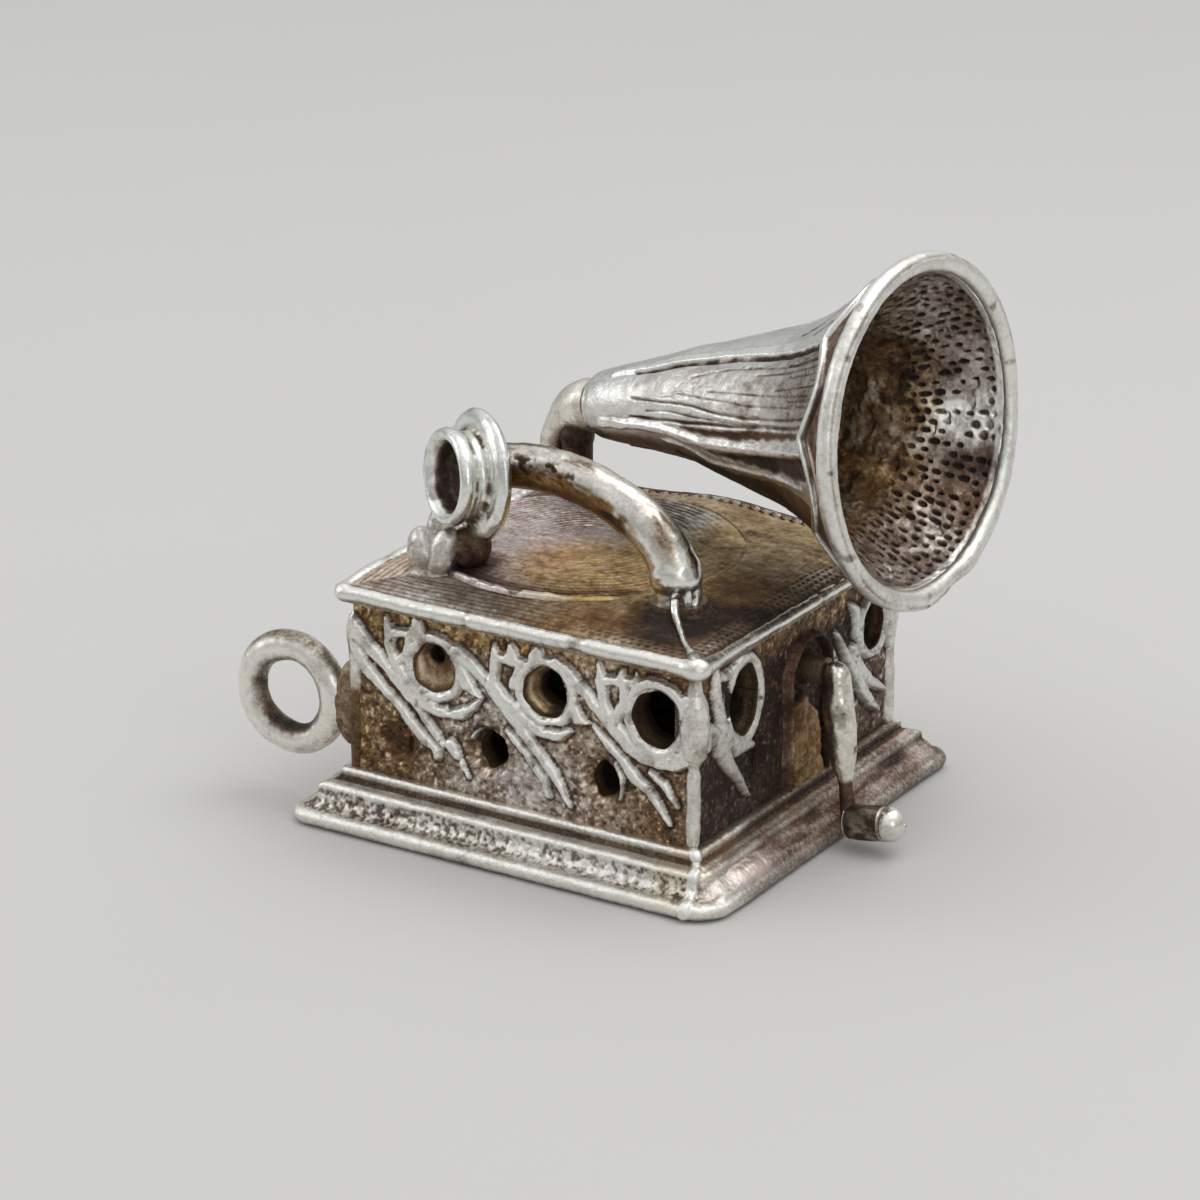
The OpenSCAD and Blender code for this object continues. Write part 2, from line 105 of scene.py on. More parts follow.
def lattice(ix, iy, iz, seed):
    h = (ix * 374761393 + iy * 668265263 + iz * 1440662683 + seed * 1274126177) & 0xFFFFFFFF
    h = ((h ^ (h >> 13)) * 1274126177) & 0xFFFFFFFF
    return ((h ^ (h >> 16)) & 0xFFFF) / 32767.5 - 1


def noise(p, freq, seed=0):
    q = np.asarray(p, float) * freq + 100.37
    i = np.floor(q).astype(np.int64)
    t = q - i
    t = t * t * (3 - 2 * t)
    out = 0
    for dx in (0, 1):
        wx = t[..., 0] if dx else 1 - t[..., 0]
        for dy in (0, 1):
            wy = t[..., 1] if dy else 1 - t[..., 1]
            for dz in (0, 1):
                wz = t[..., 2] if dz else 1 - t[..., 2]
                out = out + wx * wy * wz * lattice(i[..., 0] + dx, i[..., 1] + dy, i[..., 2] + dz, seed)
    return out


def fbm(p, freq, octaves=3, seed=0):
    """Noise with finer and weaker noise on top."""
    total, amp = 0, 1.0
    for k in range(octaves):
        total = total + amp * noise(p, freq * 2 ** k, seed + 17 * k)
        amp *= 0.5
    return total / 1.6


def noise2(x, y, freq, seed=0, octaves=3):
    return fbm(xyz(x, y, 0.5 * seed), freq, octaves, seed)


# Meshes


def mesh_of(name, verts, quads, tris=(), attrs=None):
    me = bpy.data.meshes.new(name)
    v = np.asarray(verts, float).reshape(-1, 3) * MM
    q = np.asarray(quads, int).reshape(-1, 4)
    t = np.asarray(tris, int).reshape(-1, 3)
    me.vertices.add(len(v))
    me.vertices.foreach_set("co", v.ravel())
    me.loops.add(q.size + t.size)
    me.loops.foreach_set("vertex_index", np.concatenate([q.ravel(), t.ravel()]).astype(np.int32))
    me.polygons.add(len(q) + len(t))
    starts = np.concatenate([np.arange(len(q)) * 4, q.size + np.arange(len(t)) * 3])
    totals = np.concatenate([np.full(len(q), 4), np.full(len(t), 3)])
    me.polygons.foreach_set("loop_start", starts.astype(np.int32))
    me.polygons.foreach_set("loop_total", totals.astype(np.int32))
    me.polygons.foreach_set("use_smooth", np.ones(len(q) + len(t), bool))
    for key, a in (attrs or {}).items():
        layer = me.attributes.new(key, "FLOAT", "POINT")
        layer.data.foreach_set("value", a.astype(np.float32))
    me.update(calc_edges=True)
    me.validate()
    return me


def linked(name, data):
    """Puts a new object into the scene."""
    o = bpy.data.objects.new(name, data)
    bpy.context.scene.collection.objects.link(o)
    return o


def grid_quads(n, m, wrap_n=False, wrap_m=False):
    i = np.arange(n if wrap_n else n - 1)
    j = np.arange(m if wrap_m else m - 1)
    ii, jj = np.meshgrid(i, j, indexing="ij")
    i2, j2 = (ii + 1) % n, (jj + 1) % m
    return np.stack([ii * m + jj, i2 * m + jj, i2 * m + j2, ii * m + j2], -1).reshape(-1, 4)


def ring_quads(p):
    """Faces between the rings of a grid of points."""
    return grid_quads(*p.shape[:2], False, True)


def faces_within(mask):
    """Faces of a grid whose four corners are all in the mask."""
    quads = grid_quads(*mask.shape)
    return quads[mask.ravel()[quads].all(1)]


def grid_border(n, m):
    """Numbers of the points round a grid's edge, in order."""
    return np.concatenate([np.arange(0, n * m, m), (n - 1) * m + np.arange(1, m),
                           np.arange((n - 1) * m - 1, -1, -m), np.arange(m - 2, 0, -1)])


def ring_normals(p):
    """Directions square to a sheet of closed rings."""
    n = np.cross(np.gradient(p, axis=0), np.roll(p, -1, 1) - np.roll(p, 1, 1))
    return n / np.maximum(np.linalg.norm(n, axis=-1, keepdims=True), 1e-9)


class Shape:
    """Points, faces and tones gathered from several sheets into one mesh."""

    def __init__(self):
        self.points, self.quads, self.tris, self.count = [], [], [], 0
        self.tones = {"dark": [], "gold": [], "mauve": []}

    def add(self, p, quads, tris=(), dark=0.0, gold=0.0, mauve=0.0):
        p = np.asarray(p, float).reshape(-1, 3)
        self.points.append(p)
        self.quads.append(np.asarray(quads, int).reshape(-1, 4) + self.count)
        self.tris.append(np.asarray(tris, int).reshape(-1, 3) + self.count)
        for key, a in (("dark", clip01(dark)), ("gold", gold), ("mauve", mauve)):
            self.tones[key].append(np.broadcast_to(np.ravel(a), (len(p),)))
        self.count += len(p)

    def add_tube(self, p, dark, gold, mauve, closed=False):
        """Adds rings of points as a tube; an open one is closed by a point in the middle of each end."""
        n, m = p.shape[:2]
        points, tris = p.reshape(-1, 3), ()
        tones = [np.broadcast_to(a, (n, m)).ravel() for a in (clip01(dark), gold, mauve)]
        if not closed:
            points = np.concatenate([points, [p[0].mean(0), p[-1].mean(0)]])
            j = np.arange(m)
            j2, last = (j + 1) % m, (n - 1) * m
            tris = np.concatenate([xyz(n * m, j2, j), xyz(n * m + 1, last + j, last + j2)])
            tones = [np.concatenate([a, [a[:m].mean(), a[-m:].mean()]]) for a in tones]
        self.add(points, grid_quads(n, m, closed, True), tris, *tones)

    def add_fan(self, ring, centre, **tones):
        """Closes a ring of points with triangles to a centre."""
        m = len(ring)
        j = np.arange(m)
        self.add(np.concatenate([ring, [centre]]), (), xyz(m, j, (j + 1) % m), **tones)

    def build(self, name, mat, nodes, body="case", slot="bright_silver"):
        """Makes the piece, which takes the place of the named nodes."""
        tones = {k: np.concatenate(a) for k, a in self.tones.items()}
        points, quads, tris = (np.concatenate(a) for a in (self.points, self.quads, self.tris))
        o = linked(name, mesh_of(name, points, quads, tris, tones))
        o.data.materials.append(mat)
        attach(o, body)
        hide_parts(*nodes)


def unit(v):
    return v / np.linalg.norm(v, axis=-1, keepdims=True)


def tube_points(path, radius, m=48, closed=False):
    """Rings of m points round a path; returns the grid and the outward directions."""
    c = np.asarray(path, float)
    n = len(c)
    t = unit(np.roll(c, -1, 0) - np.roll(c, 1, 0) if closed else np.gradient(c, axis=0))
    up = np.array([0, 0, 1.0])
    if abs(t[0] @ up) > 0.9:
        up = np.array([1.0, 0, 0])
    us = [unit(np.cross(up, t[0]))]
    for k in range(1, n):
        us.append(unit(us[-1] - t[k] * (us[-1] @ t[k])))
    us = np.array(us)
    if closed:
        end = unit(us[-1] - t[0] * (us[-1] @ t[0]))
        twist = math.atan2(np.cross(end, us[0]) @ t[0], end @ us[0])
        a = (twist * np.arange(n) / n)[:, None]
        us = us * np.cos(a) + np.cross(t, us) * np.sin(a)
    vs = np.cross(t, us)
    ang = circle(m)[None, :, None]
    out = us[:, None, :] * np.cos(ang) + vs[:, None, :] * np.sin(ang)
    r = np.broadcast_to(radius, (n,))[:, None, None]
    return c[:, None, :] + out * r, out


def lathe(profile, m, place):
    """Turns (radius, height) points round +Z and puts them in place."""
    r, z = np.asarray(profile, float).T[:, :, None]
    a = circle(m)
    return moved(xyz(r * np.cos(a), r * np.sin(a), z), place)


def moved(p, place):
    return p @ place[:3, :3].T + place[:3, 3]


def rounded(points, step=0.05, passes=6):
    """Points along a polyline, no further apart than step, with its corners rounded."""
    p = np.asarray(points, float)
    out = [p[:1]]
    for a, b in zip(p[:-1], p[1:]):
        k = max(1, int(math.ceil(np.linalg.norm(b - a) / step)))
        out.append(a + (b - a) * (np.arange(1, k + 1) / k)[:, None])
    p = np.concatenate(out)
    for _ in range(passes):
        p[1:-1] = (p[:-2] + 2 * p[1:-1] + p[2:]) / 4
    return p


def lengths_along(path):
    return np.concatenate([[0], np.cumsum(np.linalg.norm(np.diff(path, axis=0), axis=1))])


def rot(axis, a):
    return np.array(Matrix.Rotation(math.radians(a), 4, axis))


def shift(x, y, z):
    return np.array(Matrix.Translation((x, y, z)))


# Materials: cast silver whose hollows have gone brown, gold and black; the painted tones also carry painted
# shade and highlights


def add_node(tree, kind, inputs=(), **settings):
    """Adds a shader node; each input is a value or the output that feeds it."""
    made = tree.nodes.new("ShaderNode" + kind)
    for key, value in settings.items():
        setattr(made, key, value)
    for key, value in dict(inputs).items():
        if isinstance(value, bpy.types.NodeSocket):
            tree.links.new(value, made.inputs[key])
        else:
            made.inputs[key].default_value = value
    return made


def map_range(tree, value, low, high, to_low=0.0, to_high=1.0):
    inputs = {"Value": value, "From Min": low, "From Max": high, "To Min": to_low, "To Max": to_high}
    return add_node(tree, "MapRange", inputs).outputs[0]


# Where each tone sits between bright (0) and black (1), and its colour
SILVER_TONES = ((0.0, (0.86, 0.87, 0.83, 1)), (0.20, (0.66, 0.66, 0.62, 1)), (0.42, (0.38, 0.36, 0.32, 1)),
                (0.6, (0.18, 0.14, 0.105, 1)), (0.8, (0.085, 0.06, 0.045, 1)),
                (1.0, (0.020, 0.014, 0.012, 1)))
GOLD_TINT, MAUVE_TINT, SPARKLE = (1.0, 0.70, 0.32, 1), (1.0, 0.84, 0.86, 1), (0.78, 0.82, 0.78, 1)


def silver(name, fine=1.0, bump=0.35, rough=0.26, spread=0.5, sparkle=0.0, streak=None, tones=None):
    """One cast silver; tones gives fixed values instead of those painted on the mesh."""
    material = bpy.data.materials.new(name)
    material.use_nodes = True
    tree = material.node_tree
    tree.nodes.clear()

    def maths(operation, a, b, clamp=False):
        return add_node(tree, "Math", {0: a, 1: b}, operation=operation, use_clamp=clamp).outputs[0]

    def grain(scale, detail, vector, roughness=0.6):
        inputs = {"Scale": scale, "Detail": detail, "Roughness": roughness, "Vector": vector}
        return add_node(tree, "TexNoise", inputs).outputs["Fac"]

    def painted(key):
        if tones:
            return tones[key]
        return add_node(tree, "Attribute", attribute_name=key).outputs["Fac"]

    def mix(share, a, b, mode):
        return add_node(tree, "Mix", {0: share, 6: a, 7: b}, data_type="RGBA", blend_type=mode).outputs[2]

    place = add_node(tree, "TexCoord").outputs["Object"]
    streaked = place
    if streak:
        streaked = add_node(tree, "Mapping", {"Scale": streak, "Vector": place}).outputs["Vector"]
    big = grain(900, 4, place)
    mid = grain(3200 * fine, 5, streaked, 0.7)
    small = grain(9000 * fine, 4, place, 0.75)
    dark = maths("ADD", painted("dark"), maths("MULTIPLY", maths("SUBTRACT", mid, 0.5), spread))
    dark = maths("ADD", dark, maths("MULTIPLY", maths("SUBTRACT", small, 0.5), spread * 0.9))
    dark = maths("ADD", dark, maths("MULTIPLY", maths("SUBTRACT", big, 0.5), 0.35), clamp=True)
    ramp = add_node(tree, "ValToRGB", {"Fac": dark})
    stops = ramp.color_ramp.elements
    for at, _ in SILVER_TONES[1:-1]:
        stops.new(at)
    for stop, (_, colour) in zip(stops, SILVER_TONES):
        stop.color = colour
    gold = maths("MULTIPLY", painted("gold"), maths("ADD", maths("MULTIPLY", mid, 1.1), 0.35), clamp=True)
    mauve = maths("MULTIPLY", painted("mauve"), maths("ADD", maths("MULTIPLY", big, 1.2), 0.3), clamp=True)
    colour = mix(gold, ramp.outputs["Color"], GOLD_TINT, "MULTIPLY")
    colour = mix(mauve, colour, MAUVE_TINT, "MULTIPLY")
    if sparkle:
        points = map_range(tree, grain(14000 * fine, 3, place, 0.8), 0.60, 0.68)
        share = maths("MULTIPLY", maths("SUBTRACT", 1.0, painted("mauve")), sparkle)
        colour = mix(maths("MULTIPLY", points, share), colour, SPARKLE, "MIX")
    roughness = maths("ADD", maths("MULTIPLY", dark, 0.42), rough - 0.12)
    roughness = maths("ADD", roughness, maths("MULTIPLY", mid, 0.22), clamp=True)
    height = maths("ADD", maths("MULTIPLY", mid, 0.6), maths("MULTIPLY", small, 0.4))
    relief = add_node(tree, "Bump", {"Strength": bump, "Distance": 0.00006, "Height": height})
    skin = add_node(tree, "BsdfPrincipled", {"Base Color": colour, "Roughness": roughness,
                                             "Metallic": map_range(tree, dark, 0.45, 0.95, 1.0, 0.55),
                                             "Normal": relief.outputs["Normal"]})
    add_node(tree, "OutputMaterial", {"Surface": skin.outputs["BSDF"]})
    return material


polished = silver("polished_silver", bump=0.22, rough=0.19, spread=0.62)
worn = silver("worn_cast_silver", bump=0.4, rough=0.26, spread=0.72)
ground = silver("relief_silver", fine=1.6, bump=0.5, rough=0.30, spread=0.5, sparkle=0.3)
stipple = silver("stippled_silver", fine=2.4, bump=0.5, rough=0.30, spread=0.85, sparkle=0.6)
plate = silver("tarnished_plate", bump=0.5, rough=0.36, spread=0.58)
deep = silver("blackened_and_shaded_silver", bump=0.6, rough=0.4, spread=0.7)


# Camera: fitted to the photograph

AZIMUTH, ELEVATION, ROLL = (math.radians(a) for a in (31.4, 20.4, 0.31))
DISTANCE, SIDEWAYS, RAISED, FOCAL = 138.5, -0.736, 5.783, 4600.0
SENSOR, PHOTO_WIDTH = 36.0, 1200.0
toward = np.array([math.sin(AZIMUTH) * math.cos(ELEVATION), -math.cos(AZIMUTH) * math.cos(ELEVATION),
                   math.sin(ELEVATION)])
level = np.array([math.cos(AZIMUTH), math.sin(AZIMUTH), 0.0])
upright = np.cross(toward, level)
rightward = math.cos(ROLL) * level + math.sin(ROLL) * upright
upward = math.cos(ROLL) * upright - math.sin(ROLL) * level


def camera():
    data = bpy.data.cameras.new("camera")
    data.sensor_width = SENSOR
    data.lens = SENSOR * FOCAL / PHOTO_WIDTH
    data.clip_start, data.clip_end = 0.005, 5.0
    o = linked("camera", data)
    at = (toward * DISTANCE + rightward * SIDEWAYS + upward * RAISED) * MM
    place = np.eye(4)
    place[:3] = np.stack([rightward, upward, toward, at], 1)
    o.matrix_world = Matrix(place.tolist())
    bpy.context.scene.camera = o


camera()


# Relief: flat drawings given as chains of points with a half width at each


def chain(x, z, pts, r):
    """Signed distance to a chain of round-ended strokes."""
    pts = np.asarray(pts, float)
    best = np.full(x.shape, FAR)
    for (ax, az), (bx, bz), ra, rb in zip(pts[:-1], pts[1:], r[:-1], r[1:]):
        dx, dz = bx - ax, bz - az
        t = clip01(((x - ax) * dx + (z - az) * dz) / (dx * dx + dz * dz))
        best = np.minimum(best, np.hypot(x - ax - t * dx, z - az - t * dz) - (ra + (rb - ra) * t))
    return best


def smin(a, b, k=0.06):
    """The smaller of two distances, with a soft join."""
    h = clip01(0.5 + 0.5 * (b - a) / k)
    return b + (a - b) * h - k * h * (1 - h)


# Each stroke: points across and up the wall, and half widths
FRONT_STROKES = [
    ([(-5.78, 6.3), (-5.82, 5.67), (-5.32, 4.93), (-4.76, 4.43), (-4.2, 3.99), (-3.58, 3.39), (-3.27, 3.06),
      (-2.96, 2.88)], [0.1, 0.17, 0.16, 0.13, 0.12, 0.15, 0.17, 0.12]),
    ([(-5.7, 6.25), (-5.5, 5.85), (-5.0, 5.45), (-4.57, 5.09), (-4.07, 4.58), (-3.51, 4.08), (-3.14, 3.65),
      (-2.84, 3.33), (-2.59, 2.99)], [0.12, 0.2, 0.17, 0.13, 0.15, 0.12, 0.11, 0.12, 0.07]),
    ([(-2.86, 2.75), (-2.84, 2.6)], [0.13, 0.1]),
    ([(-2.31, 3.05), (-2.1, 2.78)], [0.17, 0.12]),
    ([(-1.95, 2.6), (-1.73, 2.17)], [0.07, 0.04]),
    ([(-4.55, 6.57), (-4.46, 6.11), (-4.43, 5.67), (-4.25, 5.21)], [0.05, 0.15, 0.13, 0.12]),
    ([(-4.46, 6.11), (-3.93, 6.2), (-3.37, 6.22)], [0.13, 0.11, 0.13]),
    ([(-3.55, 6.91), (-3.52, 6.66), (-3.5, 6.3)], [0.03, 0.14, 0.2]),
    ([(-3.8, 6.08), (-3.86, 5.6), (-4.19, 5.17)], [0.1, 0.1, 0.13]),
    ([(-4.19, 5.17), (-3.94, 4.77), (-3.39, 4.27), (-3.1, 4.2)], [0.14, 0.16, 0.2, 0.16]),
    ([(-3.39, 4.2), (-2.9, 4.05), (-2.52, 4.02), (-1.96, 4.13), (-1.53, 4.44), (-1.28, 4.75)],
     [0.14, 0.13, 0.13, 0.14, 0.1, 0.03]),
    ([(-2.1, 5.85), (-1.97, 5.42), (-1.75, 5.08), (-1.28, 4.75)], [0.1, 0.16, 0.18, 0.04]),
    ([(-2.35, 6.1), (-2.13, 6.03), (-1.58, 5.71), (-1.09, 5.31), (-0.67, 4.96), (-0.18, 4.45), (0.24, 3.94),
      (0.73, 3.43), (1.15, 2.97), (1.42, 2.6), (1.74, 2.05)],
     [0.12, 0.17, 0.15, 0.15, 0.19, 0.2, 0.15, 0.13, 0.14, 0.11, 0.05]),
    ([(-0.37, 3.95), (0.12, 3.5), (0.49, 3.07), (0.85, 2.68), (1.0, 2.2)], [0.08, 0.12, 0.11, 0.11, 0.07]),
    ([(-0.84, 6.45), (-0.79, 6.15), (-0.82, 5.87), (-0.84, 5.26)], [0.05, 0.13, 0.13, 0.12]),
    ([(-0.73, 6.1), (-0.24, 6.2), (0.1, 6.15)], [0.12, 0.12, 0.12]),
    ([(-0.24, 6.74), (-0.24, 6.5), (-0.24, 6.22)], [0.03, 0.13, 0.2]),
    ([(0.61, 6.8), (0.6, 6.6), (0.57, 6.4)], [0.04, 0.14, 0.2]),
    ([(0.0, 6.09), (-0.1, 5.7), (-0.2, 5.35)], [0.1, 0.1, 0.1]),
    ([(-0.84, 5.26), (-0.5, 4.92), (0.0, 4.66)], [0.13, 0.15, 0.14]),
    ([(0.0, 4.66), (0.3, 4.35), (0.66, 4.19), (1.25, 4.12), (1.7, 4.4)], [0.13, 0.14, 0.15, 0.14, 0.07]),
    ([(1.84, 5.62), (1.87, 5.2), (2.0, 4.85), (2.37, 4.78)], [0.08, 0.14, 0.16, 0.05]),
    ([(1.25, 6.4), (1.68, 6.17), (2.16, 5.78), (2.56, 5.33), (2.72, 5.22), (3.06, 4.95), (3.49, 4.56),
      (3.76, 4.32)], [0.15, 0.16, 0.14, 0.12, 0.13, 0.18, 0.19, 0.16]),
    ([(2.53, 4.72), (3.07, 4.22), (3.55, 3.84), (3.92, 3.38), (4.35, 3.15), (4.67, 2.81), (5.1, 2.2)],
     [0.06, 0.13, 0.12, 0.15, 0.13, 0.11, 0.05]),
    ([(4.45, 3.69), (4.87, 3.4), (5.3, 2.81)], [0.07, 0.11, 0.04]),
    ([(2.68, 6.72), (2.77, 6.06), (2.85, 5.49), (3.0, 5.1)], [0.03, 0.15, 0.14, 0.14]),
    ([(2.79, 6.06), (3.11, 6.22), (3.48, 6.27), (3.79, 6.3)], [0.15, 0.11, 0.12, 0.13]),
    ([(3.47, 6.66), (3.42, 6.34)], [0.04, 0.14]),
    ([(3.9, 6.6), (3.95, 6.3)], [0.03, 0.12]),
    ([(3.53, 6.22), (3.5, 5.63), (3.27, 5.15)], [0.12, 0.12, 0.13]),
    ([(3.76, 4.32), (4.23, 4.16), (4.76, 4.1), (5.3, 4.19), (5.75, 4.5)], [0.17, 0.18, 0.2, 0.2, 0.2]),
    ([(-1.5, 3.52), (-1.29, 3.68), (-0.82, 3.8)], [0.1, 0.09, 0.05]),
    ([(3.29, 3.73), (3.5, 3.29), (3.43, 2.63)], [0.06, 0.07, 0.04]),
    ([(5.6, 6.1), (5.7, 5.2), (5.7, 4.6)], [0.16, 0.26, 0.26]),
]

RIGHT_STROKES = [
    ([(-5.7, 6.0), (-5.6, 5.2), (-5.45, 4.7)], [0.2, 0.24, 0.22]),
    ([(-4.85, 6.84), (-4.93, 6.2), (-4.7, 5.4), (-4.2, 4.6), (-3.6, 4.0), (-2.85, 3.85)],
     [0.05, 0.16, 0.16, 0.2, 0.2, 0.10]),
    ([(-4.85, 6.5), (-4.3, 6.42), (-3.6, 6.5)], [0.12, 0.12, 0.12]),
    ([(-5.4, 5.1), (-4.8, 4.7), (-4.3, 4.35)], [0.2, 0.24, 0.2]),
    ([(-5.2, 5.0), (-4.3, 3.95), (-3.6, 3.1), (-2.96, 2.3)], [0.2, 0.2, 0.13, 0.05]),
    ([(2.2, 5.6), (2.9, 4.6), (3.6, 3.65), (4.3, 2.8), (4.9, 2.3)], [0.08, 0.15, 0.17, 0.15, 0.06]),
    ([(3.24, 4.85), (3.6, 4.1), (4.35, 3.4), (5.2, 2.9)], [0.1, 0.17, 0.15, 0.08]),
    ([(3.0, 6.3), (3.3, 6.0), (3.4, 5.2)], [0.06, 0.13, 0.12]),
    ([(5.3, 5.9), (5.6, 5.0), (5.55, 4.2)], [0.13, 0.16, 0.12]),
    ([(1.82, 5.24), (2.3, 4.4), (2.7, 3.8)], [0.07, 0.12, 0.05]),
]

def front_tone(x, z):
    """Darkness, gold and mauve of the ground between the strokes."""
    patch = noise2(x, z, 0.55, 24)
    upper_left = smooth(z, 4.6, 6.2) * smooth(x, 1.0, -3.5)
    middle = spot((x, z), (0.3, 2.2), (1.6, 0.8))
    beyond = smooth(x, 2.4, 4.6)
    top = smooth(z, 6.0, 6.5)
    left = smooth(x, -2.2, -4.2) * smooth(z, 5.2, 4.4)
    dark = 0.07 + 0.10 * beyond + 0.08 * patch + 0.08 * upper_left - 0.16 * middle - 0.04 * top + 0.11 * left
    gold = 0.36 + 0.5 * upper_left + 0.35 * patch + 0.25 * beyond - 0.6 * middle + 0.5 * top + 0.35 * left
    return dark, clip01(gold), clip01(0.35 - 0.4 * upper_left + 0.5 * middle)


def right_tone(x, z):
    patch = noise2(x, z, 0.55, 32)
    top = smooth(z, 5.6, 6.4)
    hollow = near(x + 1.7, 1.0, 0.5) * smooth(z, 6.0, 5.0)
    beyond = smooth(x, 1.9, 2.4) * smooth(z, 5.2, 4.2)
    dark = 0.52 - 0.30 * top + 0.08 * patch + 0.12 * hollow - 0.28 * beyond
    gold = 0.1 + 0.8 * top + 0.2 * patch + 0.35 * hollow
    return dark, clip01(gold), clip01(0.95 * (1 - top))


def quarter_turns(x, y, z, side):
    """Turns points of the front to the side: 0 front, 1 right, 2 back, 3 left."""
    return xyz(*((x, y), (-y, x), (-x, -y), (y, -x))[side], z)


def oval(x, z, cx, cz, rx, rz):
    """Distance from an oval's centre, 1 at its edge."""
    return np.hypot((x - cx) / rx, (z - cz) / rz)


def relief(x, z, art, span, seed):
    """Height and tones of a wall's face before its holes are cut."""
    def grain(freq, more, octaves=3):
        return noise2(x, z, freq, seed + more, octaves)

    wx = x + 0.05 * grain(1.6, 0) + 0.02 * grain(6, 3)
    wz = z + 0.05 * grain(1.6, 9) + 0.02 * grain(6, 4)
    # Signed distance to the edge of the raised drawing
    sd = np.full(x.shape, FAR)
    for pts, r in art["strokes"]:
        sd = smin(sd, chain(wx, wz, pts, np.asarray(r) * 1.38 + 0.015))
    for cx, cz, rx, rz, w in art["rings"]:
        d = (oval(wx, wz, cx, cz, rx, rz) - 1) * (rx + rz) / 2
        sd = smin(sd, np.abs(d - w) - w * (1.18 + 0.15 * grain(1.3, 5)))
    sd = sd + 0.034 * grain(4.5, 13) + 0.022 * grain(9, 14)
    for pts, r in art["slits"]:
        sd = np.maximum(sd, -chain(wx, wz, pts, r))
    for cx, cz, rx, rz in art["low"]:
        sd = np.maximum(sd, 0.11 - (oval(x, z, cx, cz, rx, rz) - 1) * (rx + rz) / 2)
    inside = clip01(-sd)
    h = 0.24 * smooth(inside, -0.04, 0.11) + 0.03 * smooth(inside, 0.06, 0.22)
    dish = 0 * x
    for around in art["dishes"]:
        k = oval(wx, wz, *around)
        dish = np.maximum(dish, smooth(k, 1.1, 0.55))
        h = h + 0.05 * near(k - 1.08, 0.14, 0.0) * smooth(sd, 0.0, 0.15)
    h = h - 0.24 * dish * smooth(sd, -0.05, 0.12)
    fine, coarse, specks, crumb = grain(5.5, 7), grain(2.0, 8), grain(10.0, 17, 2), grain(7.5, 21, 2)
    h = h + 0.018 * coarse + 0.022 * fine * smooth(sd, -0.05, 0.1)
    pits = smooth(grain(5.0, 15), 0.36, 0.56) * smooth(inside, 0.02, 0.1)
    h = h - 0.03 * pits + 0.016 * crumb * smooth(inside, 0.0, 0.06) - 0.06 * near(x, span - 0.05, span)
    low_dark, low_gold, low_mauve = art["tone"](x, z)
    raised = 0.42 * smooth(sd, -0.045, 0.0) + 0.36 * pits + 0.24 * smooth(grain(2.6, 19), 0.1, 0.5)
    raised = raised + 0.12 * smooth(crumb, -0.15, -0.5) + 0.3 * low_dark
    sunk = 0.40 + 0.42 * smooth(sd, 0.13, 0.0) + low_dark + 0.12 * dish + 0.10 * coarse
    sunk = sunk + 0.16 * smooth(fine, -0.1, -0.5) - 0.16 * smooth(fine, 0.15, 0.6)
    sunk = sunk + 0.30 * smooth(specks, -0.15, -0.5) - 0.42 * smooth(specks, 0.12, 0.5)
    gold = np.where(sd > 0.02, low_gold + 0.3 * dish, 0.1 * low_gold)
    mauve = np.where(sd > 0.02, low_mauve, 0.1)
    return h, np.where(sd < 0, raised, sunk), clip01(gold), clip01(mauve)


def hole_distances(x, z, holes, wide, seed):
    """For each hole the distance from its centre, 1 at its slightly uneven edge."""
    out = []
    for k, (cx, cz, rx, rz) in enumerate(holes):
        turn = np.arctan2((z - cz) / rz, (x - cx) / rx)
        edge = 1 + 0.035 * np.sin(3 * turn + seed + k) + 0.02 * np.sin(7 * turn + 2 * k)
        if k >= wide:
            edge = edge + 0.06 * np.sin(5 * turn + k)
        out.append((oval(x, z, cx, cz, rx, rz) / edge).ravel())
    return out


# Per hole: how far its bore narrows, how its centre wanders, and how dark the left and right of its bore are,
# as painted light and shade
PLAIN_BORE = (0.90, 0.0, 0.0, 0.85, 0.85)
BORE_LEVELS = (0.0, 0.06, 0.14, 0.24, 0.34, 0.44, 0.55, 0.7, 0.9)
WALL_BACK = -0.7


def bores(shape, out, edge, holes, height, looks, border, seed):
    """The holes' edges go in through the wall; gives the flat places where they come out."""
    bx, bz = edge.T
    centre, size = holes[:, :2], holes[:, 2:]
    lead = (bx - centre[:, 0]) / size[:, 0]
    # Painted light and shade: each bore is darker on one side than the other, and painted darker deeper in
    side_shade = looks[:, 3] + (looks[:, 4] - looks[:, 3]) * smooth(lead, -0.35, 0.35)
    rows, darks = [], []
    for level, d in enumerate(BORE_LEVELS):
        go = smooth(d, 0.12, 0.45)
        narrow = 1 - (1 - looks[:, 0]) * go
        q = centre + (edge - centre) * narrow[:, None] + looks[:, 1:3] * size * go
        depth = height * (1 - d / 0.9) - d * 0.8 + 0.03 * noise2(bx, bz, 3 + d, seed)
        rows.append(out(*q.T, depth))
        lining = side_shade + 0.30 * (level % 2 == 0) * (looks[:, 3] < 0.5)
        lining = lining + 0.34 * noise2(bx * 0.6 + d * 9, bz * 0.6 + d * 7, 2.4, seed + 33)
        within = smooth(d, 0, 0.12)
        darks.append(0.35 * (1 - within) + lining * within + 0.5 * smooth(d, 0.5, 0.75))
    k, (a, b) = len(edge), border.T
    quads = [np.stack([b, a, a + k, b + k], -1) + level * k for level in range(len(BORE_LEVELS) - 1)]
    shape.add(rows, np.concatenate(quads), dark=np.concatenate(darks), gold=0.75, mauve=0.1)
    return q


